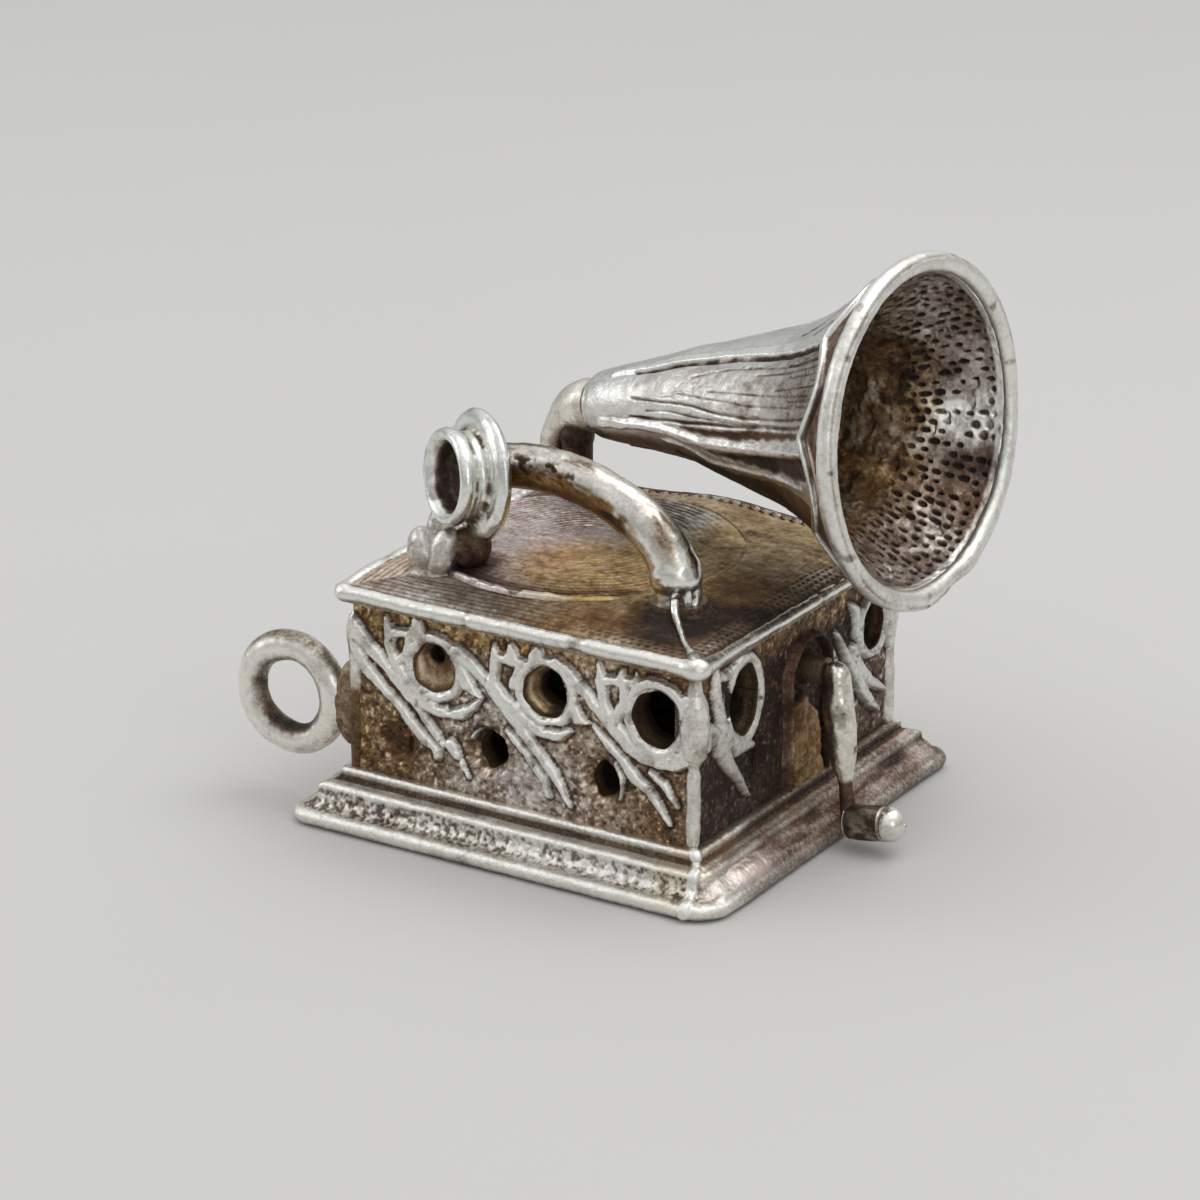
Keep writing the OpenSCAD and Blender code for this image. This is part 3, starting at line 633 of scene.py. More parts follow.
def wall(name, node, side, art, span, seed, step, looks=None, glow=None):
    """One pierced wall; glow is a painted pool of pale gold light on its inside face, which is otherwise
    painted near black as shade.
    """
    def out(across, up, d):
        return quarter_turns(across, -HALF - d, up, side)

    xs = np.linspace(-span, span, len(np.arange(-span, span + 1e-6, step)))
    zs = np.linspace(PLINTH_H - 0.02, LID_LOW + 0.02, int((LID_LOW - PLINTH_H) / step))
    x, z = np.meshgrid(xs, zs, indexing="ij")
    h, dark, gold, mauve = relief(x, z, art, span, seed)
    n, m = x.shape
    holes = [ring[:4] for ring in art["rings"]] + art["low"]
    wide = len(art["rings"])
    radii = hole_distances(x, z, holes, wide, seed)
    quads = faces_within(np.min(radii, 0).reshape(n, m) >= 1)
    # Points beside a hole move onto its edge
    x, z = x.ravel(), z.ravel()
    flat = np.stack([x, z], -1)
    uses = np.bincount(quads.ravel(), minlength=n * m)
    owner = np.full(n * m, -1)
    for k, (cx, cz, rx, rz) in enumerate(holes):
        mine = (uses > 0) & (uses < 4) & (radii[k] >= 1) & (radii[k] < 1 + 2.2 * step / min(rx, rz))
        flat[mine] = (cx, cz) + (flat[mine] - (cx, cz)) / radii[k][mine][:, None]
        owner[mine] = k
    near_hole = np.max([smooth(r, 1.12, 1.0) for r in radii], 0)
    lip = np.where(owner < wide, 0.17, -0.10) + 0.02 * noise2(*flat.T, 1.6, seed + 16)
    h = np.where(owner >= 0, lip, h.ravel() - 0.05 * near_hole)
    shape = Shape()
    shape.add(out(*flat.T, h), quads, dark=dark.ravel() + 0.10 * near_hole, gold=gold, mauve=mauve)
    edges = np.concatenate([quads[:, [k, (k + 1) % 4]] for k in range(4)])
    _, first, times = np.unique(np.sort(edges, 1), axis=0, return_index=True, return_counts=True)
    border = edges[first[times == 1]]
    border = border[(owner[border] >= 0).all(1)]
    ids, order = np.unique(border, return_inverse=True)
    own = owner[ids]
    looks = np.array([(looks or {}).get(k, PLAIN_BORE) for k in own])
    inner = flat.copy()
    inner[ids] = bores(shape, out, flat[ids], np.array(holes)[own], h[ids], looks, order.reshape(-1, 2), seed)
    # The sheet's four edges and its inside face with the same holes
    ring = grid_border(n, m)
    edge = [out(x[ring], z[ring], h[ring]), out(x[ring], z[ring], np.full(len(ring), WALL_BACK))]
    shape.add(edge, grid_quads(2, len(ring), False, True), dark=0.7, gold=0.5)
    # Painted shade: the inside face is near black, except for a painted pool of light at glow
    inside_shade = 0.93 - (0.72 * spot(flat.T, glow, (1.3, 1.3)) if glow else np.zeros(n * m))
    behind = np.where(owner >= 0, WALL_BACK - 0.02, WALL_BACK)
    shape.add(out(*inner.T, behind), quads[:, ::-1], dark=inside_shade, gold=0.9)
    shape.build(name, ground, (node,), slot="aged_silver")


# Per wall: its strokes, its slits, the rings round the upper holes (centre across and up, radii, half width),
# and the low holes and the dishes round them (centre and radii)
FRONT = {
    "tone": front_tone,
    "strokes": FRONT_STROKES,
    "slits": [([(-2.42, 4.2), (-2.08, 4.42), (-1.82, 4.68)], [0.035, 0.055, 0.03]),
              ([(0.9, 4.32), (1.4, 4.42)], [0.02, 0.03])],
    "rings": [(-2.88, 5.36, 0.73, 0.76, 0.15), (0.93, 5.42, 0.74, 0.78, 0.15),
              (4.62, 5.38, 0.78, 0.86, 0.17)],
    "low": [(-3.86, 2.72, 0.10, 0.26), (-0.95, 3.18, 0.47, 0.57), (2.86, 3.08, 0.44, 0.55)],
    "dishes": [(-4.22, 2.8, 0.62, 0.72), (-1.12, 3.10, 0.74, 0.80), (2.76, 3.02, 0.68, 0.76)],
}
RIGHT = {
    "tone": right_tone,
    "strokes": RIGHT_STROKES,
    "slits": [([(-4.2, 6.15), (-4.23, 5.17)], [0.10, 0.13])],
    "rings": [(-3.32, 5.36, 0.80, 1.08, 0.17), (4.4, 5.2, 0.66, 0.76, 0.15)],
    "low": [(-2.24, 3.25, 0.12, 0.66)],
    "dishes": [(-2.4, 3.2, 0.5, 0.85)],
}
FRONT_BORES = {0: (0.36, -0.22, 0.34, 0.36, 0.42), 1: (0.74, 0.16, 0.04, 0.34, 0.95),
               2: (0.92, 0.0, 0.0, 0.75, 0.95), 3: (0.5, 0.0, 0.0, 0.2, 0.3),
               4: (0.94, 0.0, 0.0, 0.75, 1.0), 5: (0.94, 0.0, 0.0, 0.75, 1.0)}
BACK = {**FRONT, "strokes": [(np.add(pts, (0.0, 0.02)), r) for pts, r in FRONT["strokes"]]}
wall("front_wall", "front_panel", 0, FRONT, HALF, 3, 0.04, FRONT_BORES)
wall("right_wall", "right_panel", 1, RIGHT, HALF - 0.06, 11, 0.045)
wall("back_wall", "back_panel", 2, BACK, HALF, 31, 0.05)
# The left wall's inside face gets the painted pool of light
wall("left_wall", "left_panel", 3, FRONT, HALF - 0.06, 47, 0.05, glow=(2.1, 3.8))


# Corner ribs: one long-bodied capsule low down, a broad plate where the rings of two walls meet higher up


def corner(shape, sx, sy, heights, widths, seed, stain):
    z = np.linspace(PLINTH_H - 0.05, LID_LOW + 0.1, 130)
    path = xyz(sx * (HALF - 0.06) + 0.03 * noise2(z, 0 * z, 0.9, seed), sy * (HALF - 0.06), z)
    p, out = tube_points(path, np.interp(z, heights, widths), 40)
    p = p + out * (0.02 * fbm(p, 2.2, 3, seed) + 0.012 * fbm(p, 7, 2, seed + 1))[..., None]
    brown = stain * smooth(p[..., 2], 4.5, 3.9)
    dark = 0.16 + 0.3 * smooth(noise(p, 1.4, seed + 4), 0.2, 0.8) + 0.3 * smooth(z[:, None], 6.5, 6.9)
    shape.add_tube(p, dark + 0.5 * brown, 0.1 + 0.7 * brown, 0.1)


def corner_ribs():
    """The four ribs: the near one, the left one, which is stained brown low down, and two plain ones."""
    plain = ([1.6, 2.0, 4.0, 5.0, 5.8, 6.4, 6.95], [0.26, 0.28, 0.24, 0.33, 0.33, 0.24, 0.2])
    shape = Shape()
    corner(shape, 1, -1, [1.6, 1.75, 2.2, 3.8, 4.0, 4.12, 4.4, 5.2, 6.0, 6.3, 6.6, 6.95],
           [0.12, 0.19, 0.22, 0.20, 0.15, 0.18, 0.36, 0.44, 0.38, 0.24, 0.19, 0.2], 5, 0)
    corner(shape, -1, -1, [1.6, 2.0, 4.0, 5.2, 6.0, 6.35, 6.5, 6.95],
           [0.2, 0.2, 0.2, 0.24, 0.3, 0.2, 0.08, 0.06], 6, 1)
    corner(shape, 1, 1, *plain, 7, 0)
    corner(shape, -1, 1, *plain, 8, 0)
    shape.build("corner_ribs", worn, ("corner_beads",))


corner_ribs()


# Plinth: one moulding swept round the square

MOULDING = [(5.1, 0.08), (5.1, 1.6), (5.75, 1.62), (5.98, 1.65), (6.1, 1.62), (6.17, 1.52), (6.14, 1.42),
            (6.16, 1.34), (6.26, 1.27), (6.4, 1.24), (6.53, 1.2), (6.62, 1.12), (6.62, 1.02), (6.62, 0.9),
            (6.68, 0.72), (6.8, 0.6), (6.95, 0.54), (7.12, 0.52), (7.25, 0.46), (7.32, 0.36), (7.34, 0.26),
            (7.3, 0.14), (7.2, 0.06), (7.0, 0.01), (6.8, 0.0), (6.0, 0.0), (5.1, 0.08)]
# The line of solder down the near corner
SOLDER_LINE = [(5.95, -6.0, 1.66), (6.1, -6.17, 1.45), (6.2, -6.38, 1.26), (6.24, -6.61, 1.1),
               (6.24, -6.66, 0.75), (6.28, -6.93, 0.56), (6.33, -7.22, 0.48), (6.34, -7.32, 0.28)]
PLINTH_R = 7.34
CORNER_R = (0.7, 1.2, 0.7, 0.7)


def plinth_side(profile, side, steps=400, straight=0.87):
    """One side of the moulding, with half of a rounded corner at each end."""
    t = np.linspace(-1, 1, steps, endpoint=False)[None, :]
    r, z = profile.T[:, :, None]
    corner_r = np.where(t < 0, CORNER_R[side], CORNER_R[(side + 1) % 4])
    turn_r = np.maximum(0.12, r - (PLINTH_R - corner_r))
    phi = clip01((np.abs(t) - straight) / (1 - straight)) * math.pi / 4
    u = np.sign(t) * ((r - turn_r) * clip01(np.abs(t) / straight) + turn_r * np.sin(phi))
    depth = r - turn_r * (1 - np.cos(phi))
    wave = 0.05 * noise2(u, 0 * u, 0.5, 60 + side) + 0.03 * noise2(u, 0 * u, 2.2, 70 + side)
    wave = wave * smooth(r, 5.9, 6.1) * smooth(7.36 - r, 0.0, 0.3) * (1 - np.abs(t) ** 12)
    high = z + wave * 0.6 * smooth(z, 0.3, 0.7)
    if side == 1:
        # The crank side is worn to a ramp
        ramp = np.interp(r, [6.14, 7.2], [1.45, 0.62])
        worn_in = 0.62 * smooth(r, 6.14, 6.4) * smooth(7.22 - r, 0.0, 0.15) * smooth(z, 0.40, 0.5)
        high = high + worn_in * near(t, 0.97, 0.86) * np.maximum(ramp - z, 0)
    return quarter_turns(u, -depth - wave * 0.4, high, side)


def line_distance(p, line):
    best = np.full(p.shape[:-1], FAR)
    for a, b in zip(line[:-1], line[1:]):
        t = clip01(((p - a) @ (b - a)) / ((b - a) @ (b - a)))
        best = np.minimum(best, np.linalg.norm(p - a - t[..., None] * (b - a), axis=-1))
    return best


def plinth():
    profile = rounded(MOULDING, 0.040, 3)
    p = np.concatenate([plinth_side(profile, side) for side in range(4)], 1)
    normal = ring_normals(p)
    r = profile[:, :1]
    x, y, z = np.moveaxis(p, -1, 0)
    cove = smooth(r, 6.6, 6.66) * smooth(r, 7.12, 7.0) * smooth(z, 0.45, 0.55)
    cove = clip01(cove + near(r - 6.62, 0.1, 0.03) * smooth(z, 0.6, 0.7) * smooth(z, 1.1, 1.0))
    groove = near(r - 6.2, 0.12, 0.03) * smooth(z, 1.2, 1.28) * smooth(z, 1.46, 1.38)
    right = smooth(x, 6.0, 6.5) * smooth(np.abs(x) - np.abs(y), -0.5, 0.3)
    pebbles = fbm(p, 9.5, 2, 4)
    streaks = fbm(p * (2.2, 0.5, 2.2), 1.6, 3, 14)
    bands = fbm(p * (0.5, 1, 1), 1.1, 2, 17)
    bulge = spot((x, y, z), (6.85, -4.55, 0.74), (0.36, 0.95, 0.36))
    # Painted shadow of the crank's handle on the plinth's outer roll, dark and golden
    handle_shadow = spot((x, y, z), (7.1, 0.8, 0.45), (0.35, 0.6, 0.3))
    rib = smooth(line_distance(p, np.array(SOLDER_LINE)), 0.24, 0.08)
    d = 0.020 * fbm(p, 2.2, 2, 9) + cove * (0.032 - 0.022 * right) * pebbles + 0.014 * fbm(p, 5, 2, 12)
    d = (d + 0.17 * bulge + 0.09 * rib) * smooth(r, 5.2, 5.6)
    near_end = right * smooth(y, -4.9, -6.4)
    ridge = near(z - 1.14, 0.14, 0.04) * near(r - 6.6, 0.2, 0.06) + smooth(r, 7.14, 7.26) * smooth(z, 0.1, 0.3)
    ridge = clip01(ridge + near(r - 6.05, 0.16, 0.08) * smooth(z, 1.5, 1.6))
    front = 0.03 + 0.40 * smooth(pebbles, 0.15, -0.4) - 0.22 * smooth(pebbles, 0.0, 0.5) + 0.30 * bands
    side = 0.02 + 0.25 * smooth(streaks, 0.0, 0.5) - 0.12 * smooth(streaks, 0.0, -0.5)
    dark = 0.25 + cove * ((1 - right) * front + right * side)
    dark = dark - (0.27 - 0.23 * right) * ridge + (0.6 - 0.45 * right) * groove + 0.26 * right
    upper_edge = near(r - 6.05, 0.40, 0.12) * smooth(z, 1.30, 1.45) * smooth(x, 5.6, 5.8)
    dark = dark + 0.55 * upper_edge * smooth(y, -4.4, -2.8) * smooth(y, 6.2, 5.6)
    dark = dark - 0.75 * bulge - 0.6 * rib + 0.5 * handle_shadow + 0.25 * smooth(z, 0.12, 0.0) - 0.34 * near_end
    dark = dark + 0.12 * noise(p, 0.8, 3) + 0.25 * smooth(fbm(p, 1.3, 2, 16), 0.3, 0.6) * (1 - cove)
    mauve = 0.10 + 0.75 * right * (1 - 0.6 * ridge) * (1 - 0.8 * near_end)
    gold = (1 - rib) * (0.08 + 0.4 * groove + 0.25 * smooth(noise(p, 0.45, 8), 0.2, 0.7))
    gold = gold + 0.6 * handle_shadow + 0.15 * bulge
    outward = -np.sign(normal[len(profile) // 2, 5, 1])
    shape = Shape()
    shape.add(p + normal * (outward * d)[..., None], ring_quads(p), dark=dark, gold=gold, mauve=mauve)
    shape.build("stepped_plinth", stipple, ("plinth",))


plinth()


# Lid: a cushioned plate, warped a little, with engraved lines and strips of milled dots


def warp(x, y):
    back_edge = 0.26 * spot((x,), (-0.1,), (2.1,)) * smooth(y, 2.0, 5.5)
    return back_edge + 0.15 * smooth(-x, 3.5, 6.0) * smooth(y, -6.4, -4.0) * smooth(y, 3.0, 0.0)


def lid_height(x, y):
    ax = clip01(np.abs(x) / (LID_X - 0.5))
    ay = clip01(np.abs(y) / (LID_Y - 0.5))
    z = LID_TOP + CROWN * clip01((1 - ax ** 2.2) * (1 - ay ** 2.2)) ** 0.62 + warp(x, y)
    under_record = smooth(np.hypot(x - REC_X, y), REC_R - 0.02, REC_R - 0.12)
    return z * (1 - under_record) + np.minimum(z, LID_TOP + 0.12) * under_record


def lid():
    n = 330
    x1, y1 = LID_X - 0.12, LID_Y - 0.12
    x, y = np.meshgrid(np.linspace(-x1, x1, n), np.linspace(-y1, y1, n), indexing="ij")
    # Distances from the edges, and which edge is the nearest
    ex, ey = LID_X - np.abs(x), LID_Y - np.abs(y)
    e = np.minimum(ex, ey)
    wave = 0.05 * noise2(x, y, 0.7, 80)
    along = np.where(ex < ey, y, x)
    right, left = (x > 0) & (ex < ey), (x < 0) & (ex < ey)
    back, front = (y > 0) & (ey <= ex), (y < 0) & (ey <= ex)
    # Three rows of milled dots on the right and at the front corner, slanted teeth along the back
    rows = np.sin((e + wave) * 2 * np.pi / 0.2)
    dots = np.sin((along + 0.09 * np.floor((e + wave) / 0.2)) * 2 * np.pi / 0.27)
    strip = smooth(e, 0.38, 0.44) * smooth(e, 1.06, 0.98)
    mill = strip * (right * smooth(y, 3.5, 1.5) + front * smooth(x, 1.0, 3.5) * 0.9)
    hollow = 0.9 * mill * smooth(rows, 0.2, 0.8) * smooth(dots, -0.5, 0.3)
    slant = np.sin((x - 0.8 * ey) * 2 * np.pi / 0.36 + 0.6 * noise2(x, y, 2.0, 89))
    tooth = back * smooth(ey, 0.2, 0.28) * smooth(ey, 0.95, 0.85) * smooth(slant, -0.2, 0.4)
    lines = smooth(np.cos((e + wave * 0.4) * 2 * np.pi / 0.2), 0.45, 0.95) * smooth(e, 2.1, 1.5)
    lines = lines * np.where(left, 0.9, np.where(front, 0.55 * smooth(x, 2.5, -1.0), 0.15))
    outside = smooth(np.hypot(x - REC_X, y), REC_R - 0.1, REC_R)
    moat = smooth(e, 0.5, 0.3)
    crumbs = noise2(x, y, 6.0, 91, 2)
    z = lid_height(x, y) - outside * (0.07 * hollow + 0.06 * tooth + 0.03 * lines) - 0.03 * moat
    z = z + 0.03 * noise2(x, y, 0.8, 81) * smooth(e, 0.2, 0.6) + 0.012 * noise2(x, y, 3.5, 82)
    z = z + 0.012 * crumbs * smooth(e, 0.2, 0.5)
    patches = noise2(x, y, 0.35, 85)
    streaks = noise2(x * 0.5 + y * 0.3, y * 3.0, 1.0, 86)
    pool = smooth(np.hypot(x - 3.95, (y + 3.75) * 0.8), 1.9, 0.7)
    pool = np.maximum(pool, 0.8 * near(x - y - 7.6, 1.5, 0.3) * smooth(x, 3.0, 4.5))
    dark = 0.46 + 0.42 * hollow + 0.50 * tooth + 0.36 * lines + 0.16 * patches + 0.14 * streaks
    dark = dark + 0.48 * pool + 0.25 * moat + 0.25 * smooth(x, 3.0, 4.6) * smooth(y, 2.5, -1.0)
    dark = dark - 0.14 * crumbs + 0.06 * front * smooth(e, 0.3, 0.9) * smooth(e, 1.9, 1.3)
    dark = dark - 0.22 * left * smooth(-y, 0.0, 3.0) - 0.10 * smooth(y, -1.0, 2.0) * smooth(x, 1.5, 3.0)
    dark = dark - 0.08 * strip * mill * (1 - hollow)
    gold = 0.40 + 0.55 * smooth(x + 0.2 * y, -3.0, 0.8) + 0.35 * patches - 0.5 * strip * mill
    gold = gold - 0.35 * front * smooth(-x, -1.0, 1.5)
    mauve = 0.6 * smooth(-x, 1.0, 4.0) + 0.7 * smooth(np.hypot(x - 1.6, (y + 4.9) * 1.2), 1.4, 0.5)
    shape = Shape()
    shape.add(xyz(x, y, z), grid_quads(n, n), dark=dark, gold=clip01(gold), mauve=clip01(mauve))
    top = xyz(x, y, z).reshape(-1, 3)[grid_border(n, n)]
    low = xyz(top[:, 0] * 0.985, top[:, 1] * 0.985, LID_LOW + 0.8 * warp(top[:, 0], top[:, 1]))
    shape.add([top, low], grid_quads(2, len(top), False, True), dark=0.5, gold=0.4)
    under = xyz(x * 0.985, y * 0.985, LID_LOW + 0.8 * warp(x, y))
    shape.add(under, grid_quads(n, n)[:, ::-1], dark=0.55, gold=0.5)
    shape.build("lid", plate, ("top_plate", "rope_border"), slot="aged_silver")


lid()


def lid_rim():
    """A rounded bead round the lid, thick at its near corner and thin behind it."""
    x1, y1, steps = LID_X - 0.22, LID_Y - 0.22, 150
    ends = np.array([(-x1, -y1), (x1, -y1), (x1, y1), (-x1, y1), (-x1, -y1)])
    t = np.linspace(0, 1, steps, endpoint=False)[:, None]
    c = np.concatenate([a + (b - a) * t for a, b in zip(ends[:-1], ends[1:])])
    for _ in range(5):
        c = (np.roll(c, 1, 0) + 2 * c + np.roll(c, -1, 0)) / 4
    x, y = c.T
    back = smooth(y, 5.9, 6.05) * near(x, 5.9, 5.0)
    z = CASE_H - 0.25 + 0.95 * warp(x, y) + 0.035 * noise2(x, y, 0.7, 5) - 0.10 * back
    side = 1.0 - 0.26 * smooth(x, x1 - 0.3, x1) * smooth(y, -5.6, -4.6)
    r = 0.225 * side + 0.10 * spot((x, y), (x1, -y1), (0.4, 0.4)) + 0.02 * noise2(x, y, 0.9, 15)
    r = r + 0.05 * spot((x, y), (-x1, -y1), (0.31623, 0.31623))
    p, out = tube_points(xyz(x, y, z), r, 32, closed=True)
    nick = smooth(noise(xyz(x + y * 0.37, y, 0), 1.9, 9), 0.55, 0.8)[:, None]
    p = p + out * (0.022 * fbm(p, 1.8, 3, 3) + 0.016 * fbm(p, 6, 2, 5) - 0.05 * nick)[..., None]
    dimple = spot((p[..., 0], p[..., 1]), (x1 + 0.1, -y1 - 0.1), (0.109545, 0.109545))
    dimple = dimple * (p[..., 2] > CASE_H - 0.2)
    p[..., 2] -= 0.06 * dimple
    # The bead's lower side is painted darker as shade
    dark = 0.35 * nick + 0.5 * smooth(-out[..., 2], 0.35, 0.95) + 0.4 * dimple
    dark = dark + 0.45 * back[:, None] + 0.25 * smooth(noise(p, 2.4, 19), 0.45, 0.8)
    shape = Shape()
    shape.add_tube(p, dark, 0.06, 0.05, closed=True)
    shape.build("lid_rim", worn, ("plate_rim",))


lid_rim()


# Record: a turned disc soldered to the lid, its low front edge raised, broken and painted bright as a
# highlight


def record():
    m = 460
    radii = [0.02, 0.1, 0.2, 0.26, *np.linspace(0.32, 4.3, 200), *np.linspace(4.32, REC_R, 26)]
    r, t = np.meshgrid(radii, circle(m), indexing="ij")
    x, y = REC_X + r * np.cos(t), r * np.sin(t)
    deg = degrees_from(np.degrees(t), 0)
    wave = 0.05 * noise2(x, y, 0.7, 90)
    groove = np.sin((r + wave) * 2 * np.pi / 0.21) * 0.5 + 0.5
    behind = smooth(y, -0.3, 1.2) * smooth(x, 1.6, 0.0)
    weight = smooth(r, 0.9, 1.6) * (0.3 + 0.7 * smooth(noise2(x, y, 0.5, 91), -0.3, 0.4))
    weight = weight * (0.45 + 0.9 * behind + 0.6 * smooth(r, 3.4, 4.2)) * (1 - 0.75 * smooth(x, 0.8, 2.2))
    groove = groove * np.clip(weight, 0, 1.3)
    # The edge: raised at the front left with a painted highlight, thinner and doubled at the front right with
    # fainter painted highlights
    front = smooth(deg, -120, -110) * smooth(deg, -66, -74)
    thin = smooth(deg, -78, -70) * smooth(deg, -44, -52)
    edge = smooth(r, REC_R - 0.24, REC_R - 0.15) * smooth(r, REC_R + 0.02, REC_R - 0.06)
    second = near(r - REC_R + 0.30 - 0.10 * np.sin(t * 3), 0.06, 0.02) * thin
    lit = edge * front * smooth(noise2(x, y, 1.3, 93), -0.45, -0.1)
    crumbs = noise2(x, y, 5.5, 99, 2)
    z = LID_TOP + REC_RISE - 0.12 * smooth(r, 2.6, 4.5) + 0.03 * smooth(r, 3.0, 0.0) + 0.5 * warp(x, y)
    z = z - 0.028 * groove + 0.014 * noise2(x, y, 3.0, 92) + 0.02 * noise2(x, y, 0.9, 94) + 0.018 * crumbs
    z = z + 0.10 * lit + 0.06 * second + 0.05 * edge * thin
    z = z - 0.14 * smooth(r, REC_R - 0.06, REC_R) * (1 - 0.4 * front - 0.85 * smooth(x, 0.8, 2.4))
    fine = noise2(x * 0.6, y * 2.4, 2.0, 98)
    dark = 0.34 + 0.26 * groove + 0.18 * noise2(x, y, 0.45, 95) + 0.14 * fine - 0.16 * crumbs
    dark = dark + 0.16 * smooth(np.hypot(x - 0.4, y - 1.2), 2.6, 0.6)
    dark = dark - 0.55 * lit - 0.4 * second - 0.3 * edge * thin
    dark = dark + 0.30 * smooth(r, REC_R - 0.9, REC_R - 0.4) * smooth(r, REC_R - 0.22, REC_R - 0.3) \
        * smooth(-y, 2.0, 3.5)
    dark = dark - 0.12 * smooth(-x - 0.3 * y, 1.5, 3.5) * smooth(y, -2.5, 0.5)
    dark = dark + 0.30 * smooth(np.hypot(x + 3.5, y + 3.3), 1.5, 0.6)
    gold = smooth(np.hypot(x - 0.4, (y + 2.0) * 1.1), 3.8, 1.6) + smooth(x, 0.0, 1.8)
    mauve = 0.9 * smooth(-x, -0.4, 2.0) + 0.4 * smooth(noise2(x, y, 0.7, 97), 0.2, 0.7) * smooth(x, 1.5, 0.0)
    shape = Shape()
    p = xyz(x, y, z)
    shape.add(p, ring_quads(p), dark=dark, gold=clip01(gold), mauve=clip01(mauve))
    a, foot_r = circle(m), REC_R + 0.01
    foot = xyz(REC_X + foot_r * np.cos(a), foot_r * np.sin(a), LID_TOP - 0.02)
    shape.add([p[-1], foot], grid_quads(2, m, False, True), dark=0.6, gold=0.4)
    shape.add_fan(p[0], (REC_X, 0, z[0].mean()), dark=0.5, gold=0.5)
    shape.build("record_disc", plate, ("record",), slot="aged_silver")


record()


# Tone arm

ARM_X, ARM_Y, ARM_R = 3.5, -2.9, 0.70


def arm_path():
    """Straight up from the foot, a short bend, then a long flat arch."""
    bend_z, bend, arch, turn, tip = LID_TOP + 0.5, 2.4, 6.2, 55.0, 108.0
    arch_x = ARM_X - bend + (bend - arch) * math.cos(math.radians(turn))
    arch_z = bend_z + (bend - arch) * math.sin(math.radians(turn))
    path = [(ARM_X, ARM_Y, z) for z in np.linspace(LID_TOP + 0.12, bend_z, 14)]
    for x, z, r, angles in ((ARM_X - bend, bend_z, bend, np.linspace(0, turn, 46)),
                            (arch_x, arch_z, arch, np.linspace(turn, tip, 110))):
        path += [(x + r * math.cos(t), ARM_Y, z + r * math.sin(t)) for t in np.radians(angles[1:])]
    return np.array(path)


def tone_arm():
    path = arm_path()
    length = lengths_along(path)
    s = length[:, None]
    r = ARM_R - 0.03 * smooth(length, 2.5, 5.0) + 0.07 * near(length - 1.1, 0.45, 0.1)
    p, out = tube_points(path, r, 84)
    x, y, z = np.moveaxis(p, -1, 0)
    a = circle(84)
    marks = fbm(xyz(s * 0.45, np.cos(a) * 0.7, np.sin(a) * 0.7) * (1, 2.4, 2.4), 1.6, 3, 41)
    ragged = fbm(p, 3.2, 3, 46)
    foot = smooth(s, 0.80, 0.45)
    legs = 0.7 * smooth(np.sin(a * 5 + 2.0) + 0.8 * ragged, 0.5, 0.9) * (y > -3.2)
    legs = foot * np.maximum(spot((x, y), (3.86, -3.52), (0.187083, 0.187083)), legs)
    # The upper half is bright; the lower half is painted brown and dark as shade with a painted reflection of
    # the record below, with a ragged edge between
    high = np.cross(np.array([0, 1.0, 0]), unit(np.gradient(path, axis=0)))
    high = np.where(high[:, 2:3] < 0, -high, high)
    lift = np.sum(out * high[:, None, :], -1)
    front = -out[..., 1]
    edge = lift - 0.22 + 0.30 * front * smooth(s, 5.2, 2.4) + 0.28 * ragged + 0.2 * marks
    under = smooth(edge, 0.16, -0.10) * smooth(s, 2.2, 3.4)
    window = spot(((x - 3.43) * 2.6 + (z - 9.59) * 0.9, (z - 9.6) * 1.35), (0, 0), (1, 1))
    window = window * smooth(front, 0.3, 0.8)
    stain = spot((x, z), (2.72, 10.75), (0.223607, 0.223607)) * (y < -2.9)
    pits = smooth(fbm(p, 4.2, 2, 47), 0.16, 0.36) * smooth(s, 4.6, 5.6) * near(lift - 0.25, 0.6, 0.2)
    d = 0.03 * fbm(p, 1.0, 2, 42) + 0.02 * fbm(p, 3.5, 3, 43) - 0.16 * legs
    p = p + out * (d - 0.05 * pits - 0.03 * window - 0.03 * stain)[..., None]
    # Low down, near the foot, the arm is painted lighter as a highlight
    low = smooth(p[..., 2], 10.2, 9.2)
    dark = 0.16 - 0.24 * low + 0.44 * under + 0.40 * smooth(marks, 0.05, 0.45) * (1 - 0.8 * low)
    dark = dark + 0.10 * smooth(lift, 0.5, 0.9) + 0.95 * pits + 0.5 * window + 0.45 * stain
    dark = dark + 0.16 * smooth(-out[..., 0], 0.6, 0.95) * smooth(s, 3.4, 2.0)
    dark = dark + 0.6 * legs + 0.55 * smooth(s, 0.42, 0.16) + 0.12 * smooth(ragged, 0.2, 0.6)
    gold = under * (1 - 0.6 * low) + 0.4 * window + 0.1 * (1 - low)
    shape = Shape()
    shape.add_tube(p, dark, gold, 0.1)
    add_run(shape)
    add_spill(shape)
    shape.build("tone_arm_tube", polished, ("tone_arm",))


def add_run(shape):
    """A thin line of solder that ran from the arm's foot to the corner."""
    path = rounded([(3.80, ARM_Y - 0.72, 8.05), (3.95, ARM_Y - 0.95, 7.72), (4.35, ARM_Y - 1.4, 7.58),
                    (5.0, ARM_Y - 2.2, 7.48), (5.75, ARM_Y - 2.95, 7.42)], 0.06, 6)
    k = np.linspace(0, 1, len(path))
    p, out = tube_points(path, 0.12 - 0.03 * smooth(k, 0.1, 0.5) + 0.11 * smooth(k, 0.75, 1.0), 20)
    shape.add_tube(p + out * (0.02 * fbm(p, 4, 2, 45))[..., None], 0.05, 0.0, 0.0)


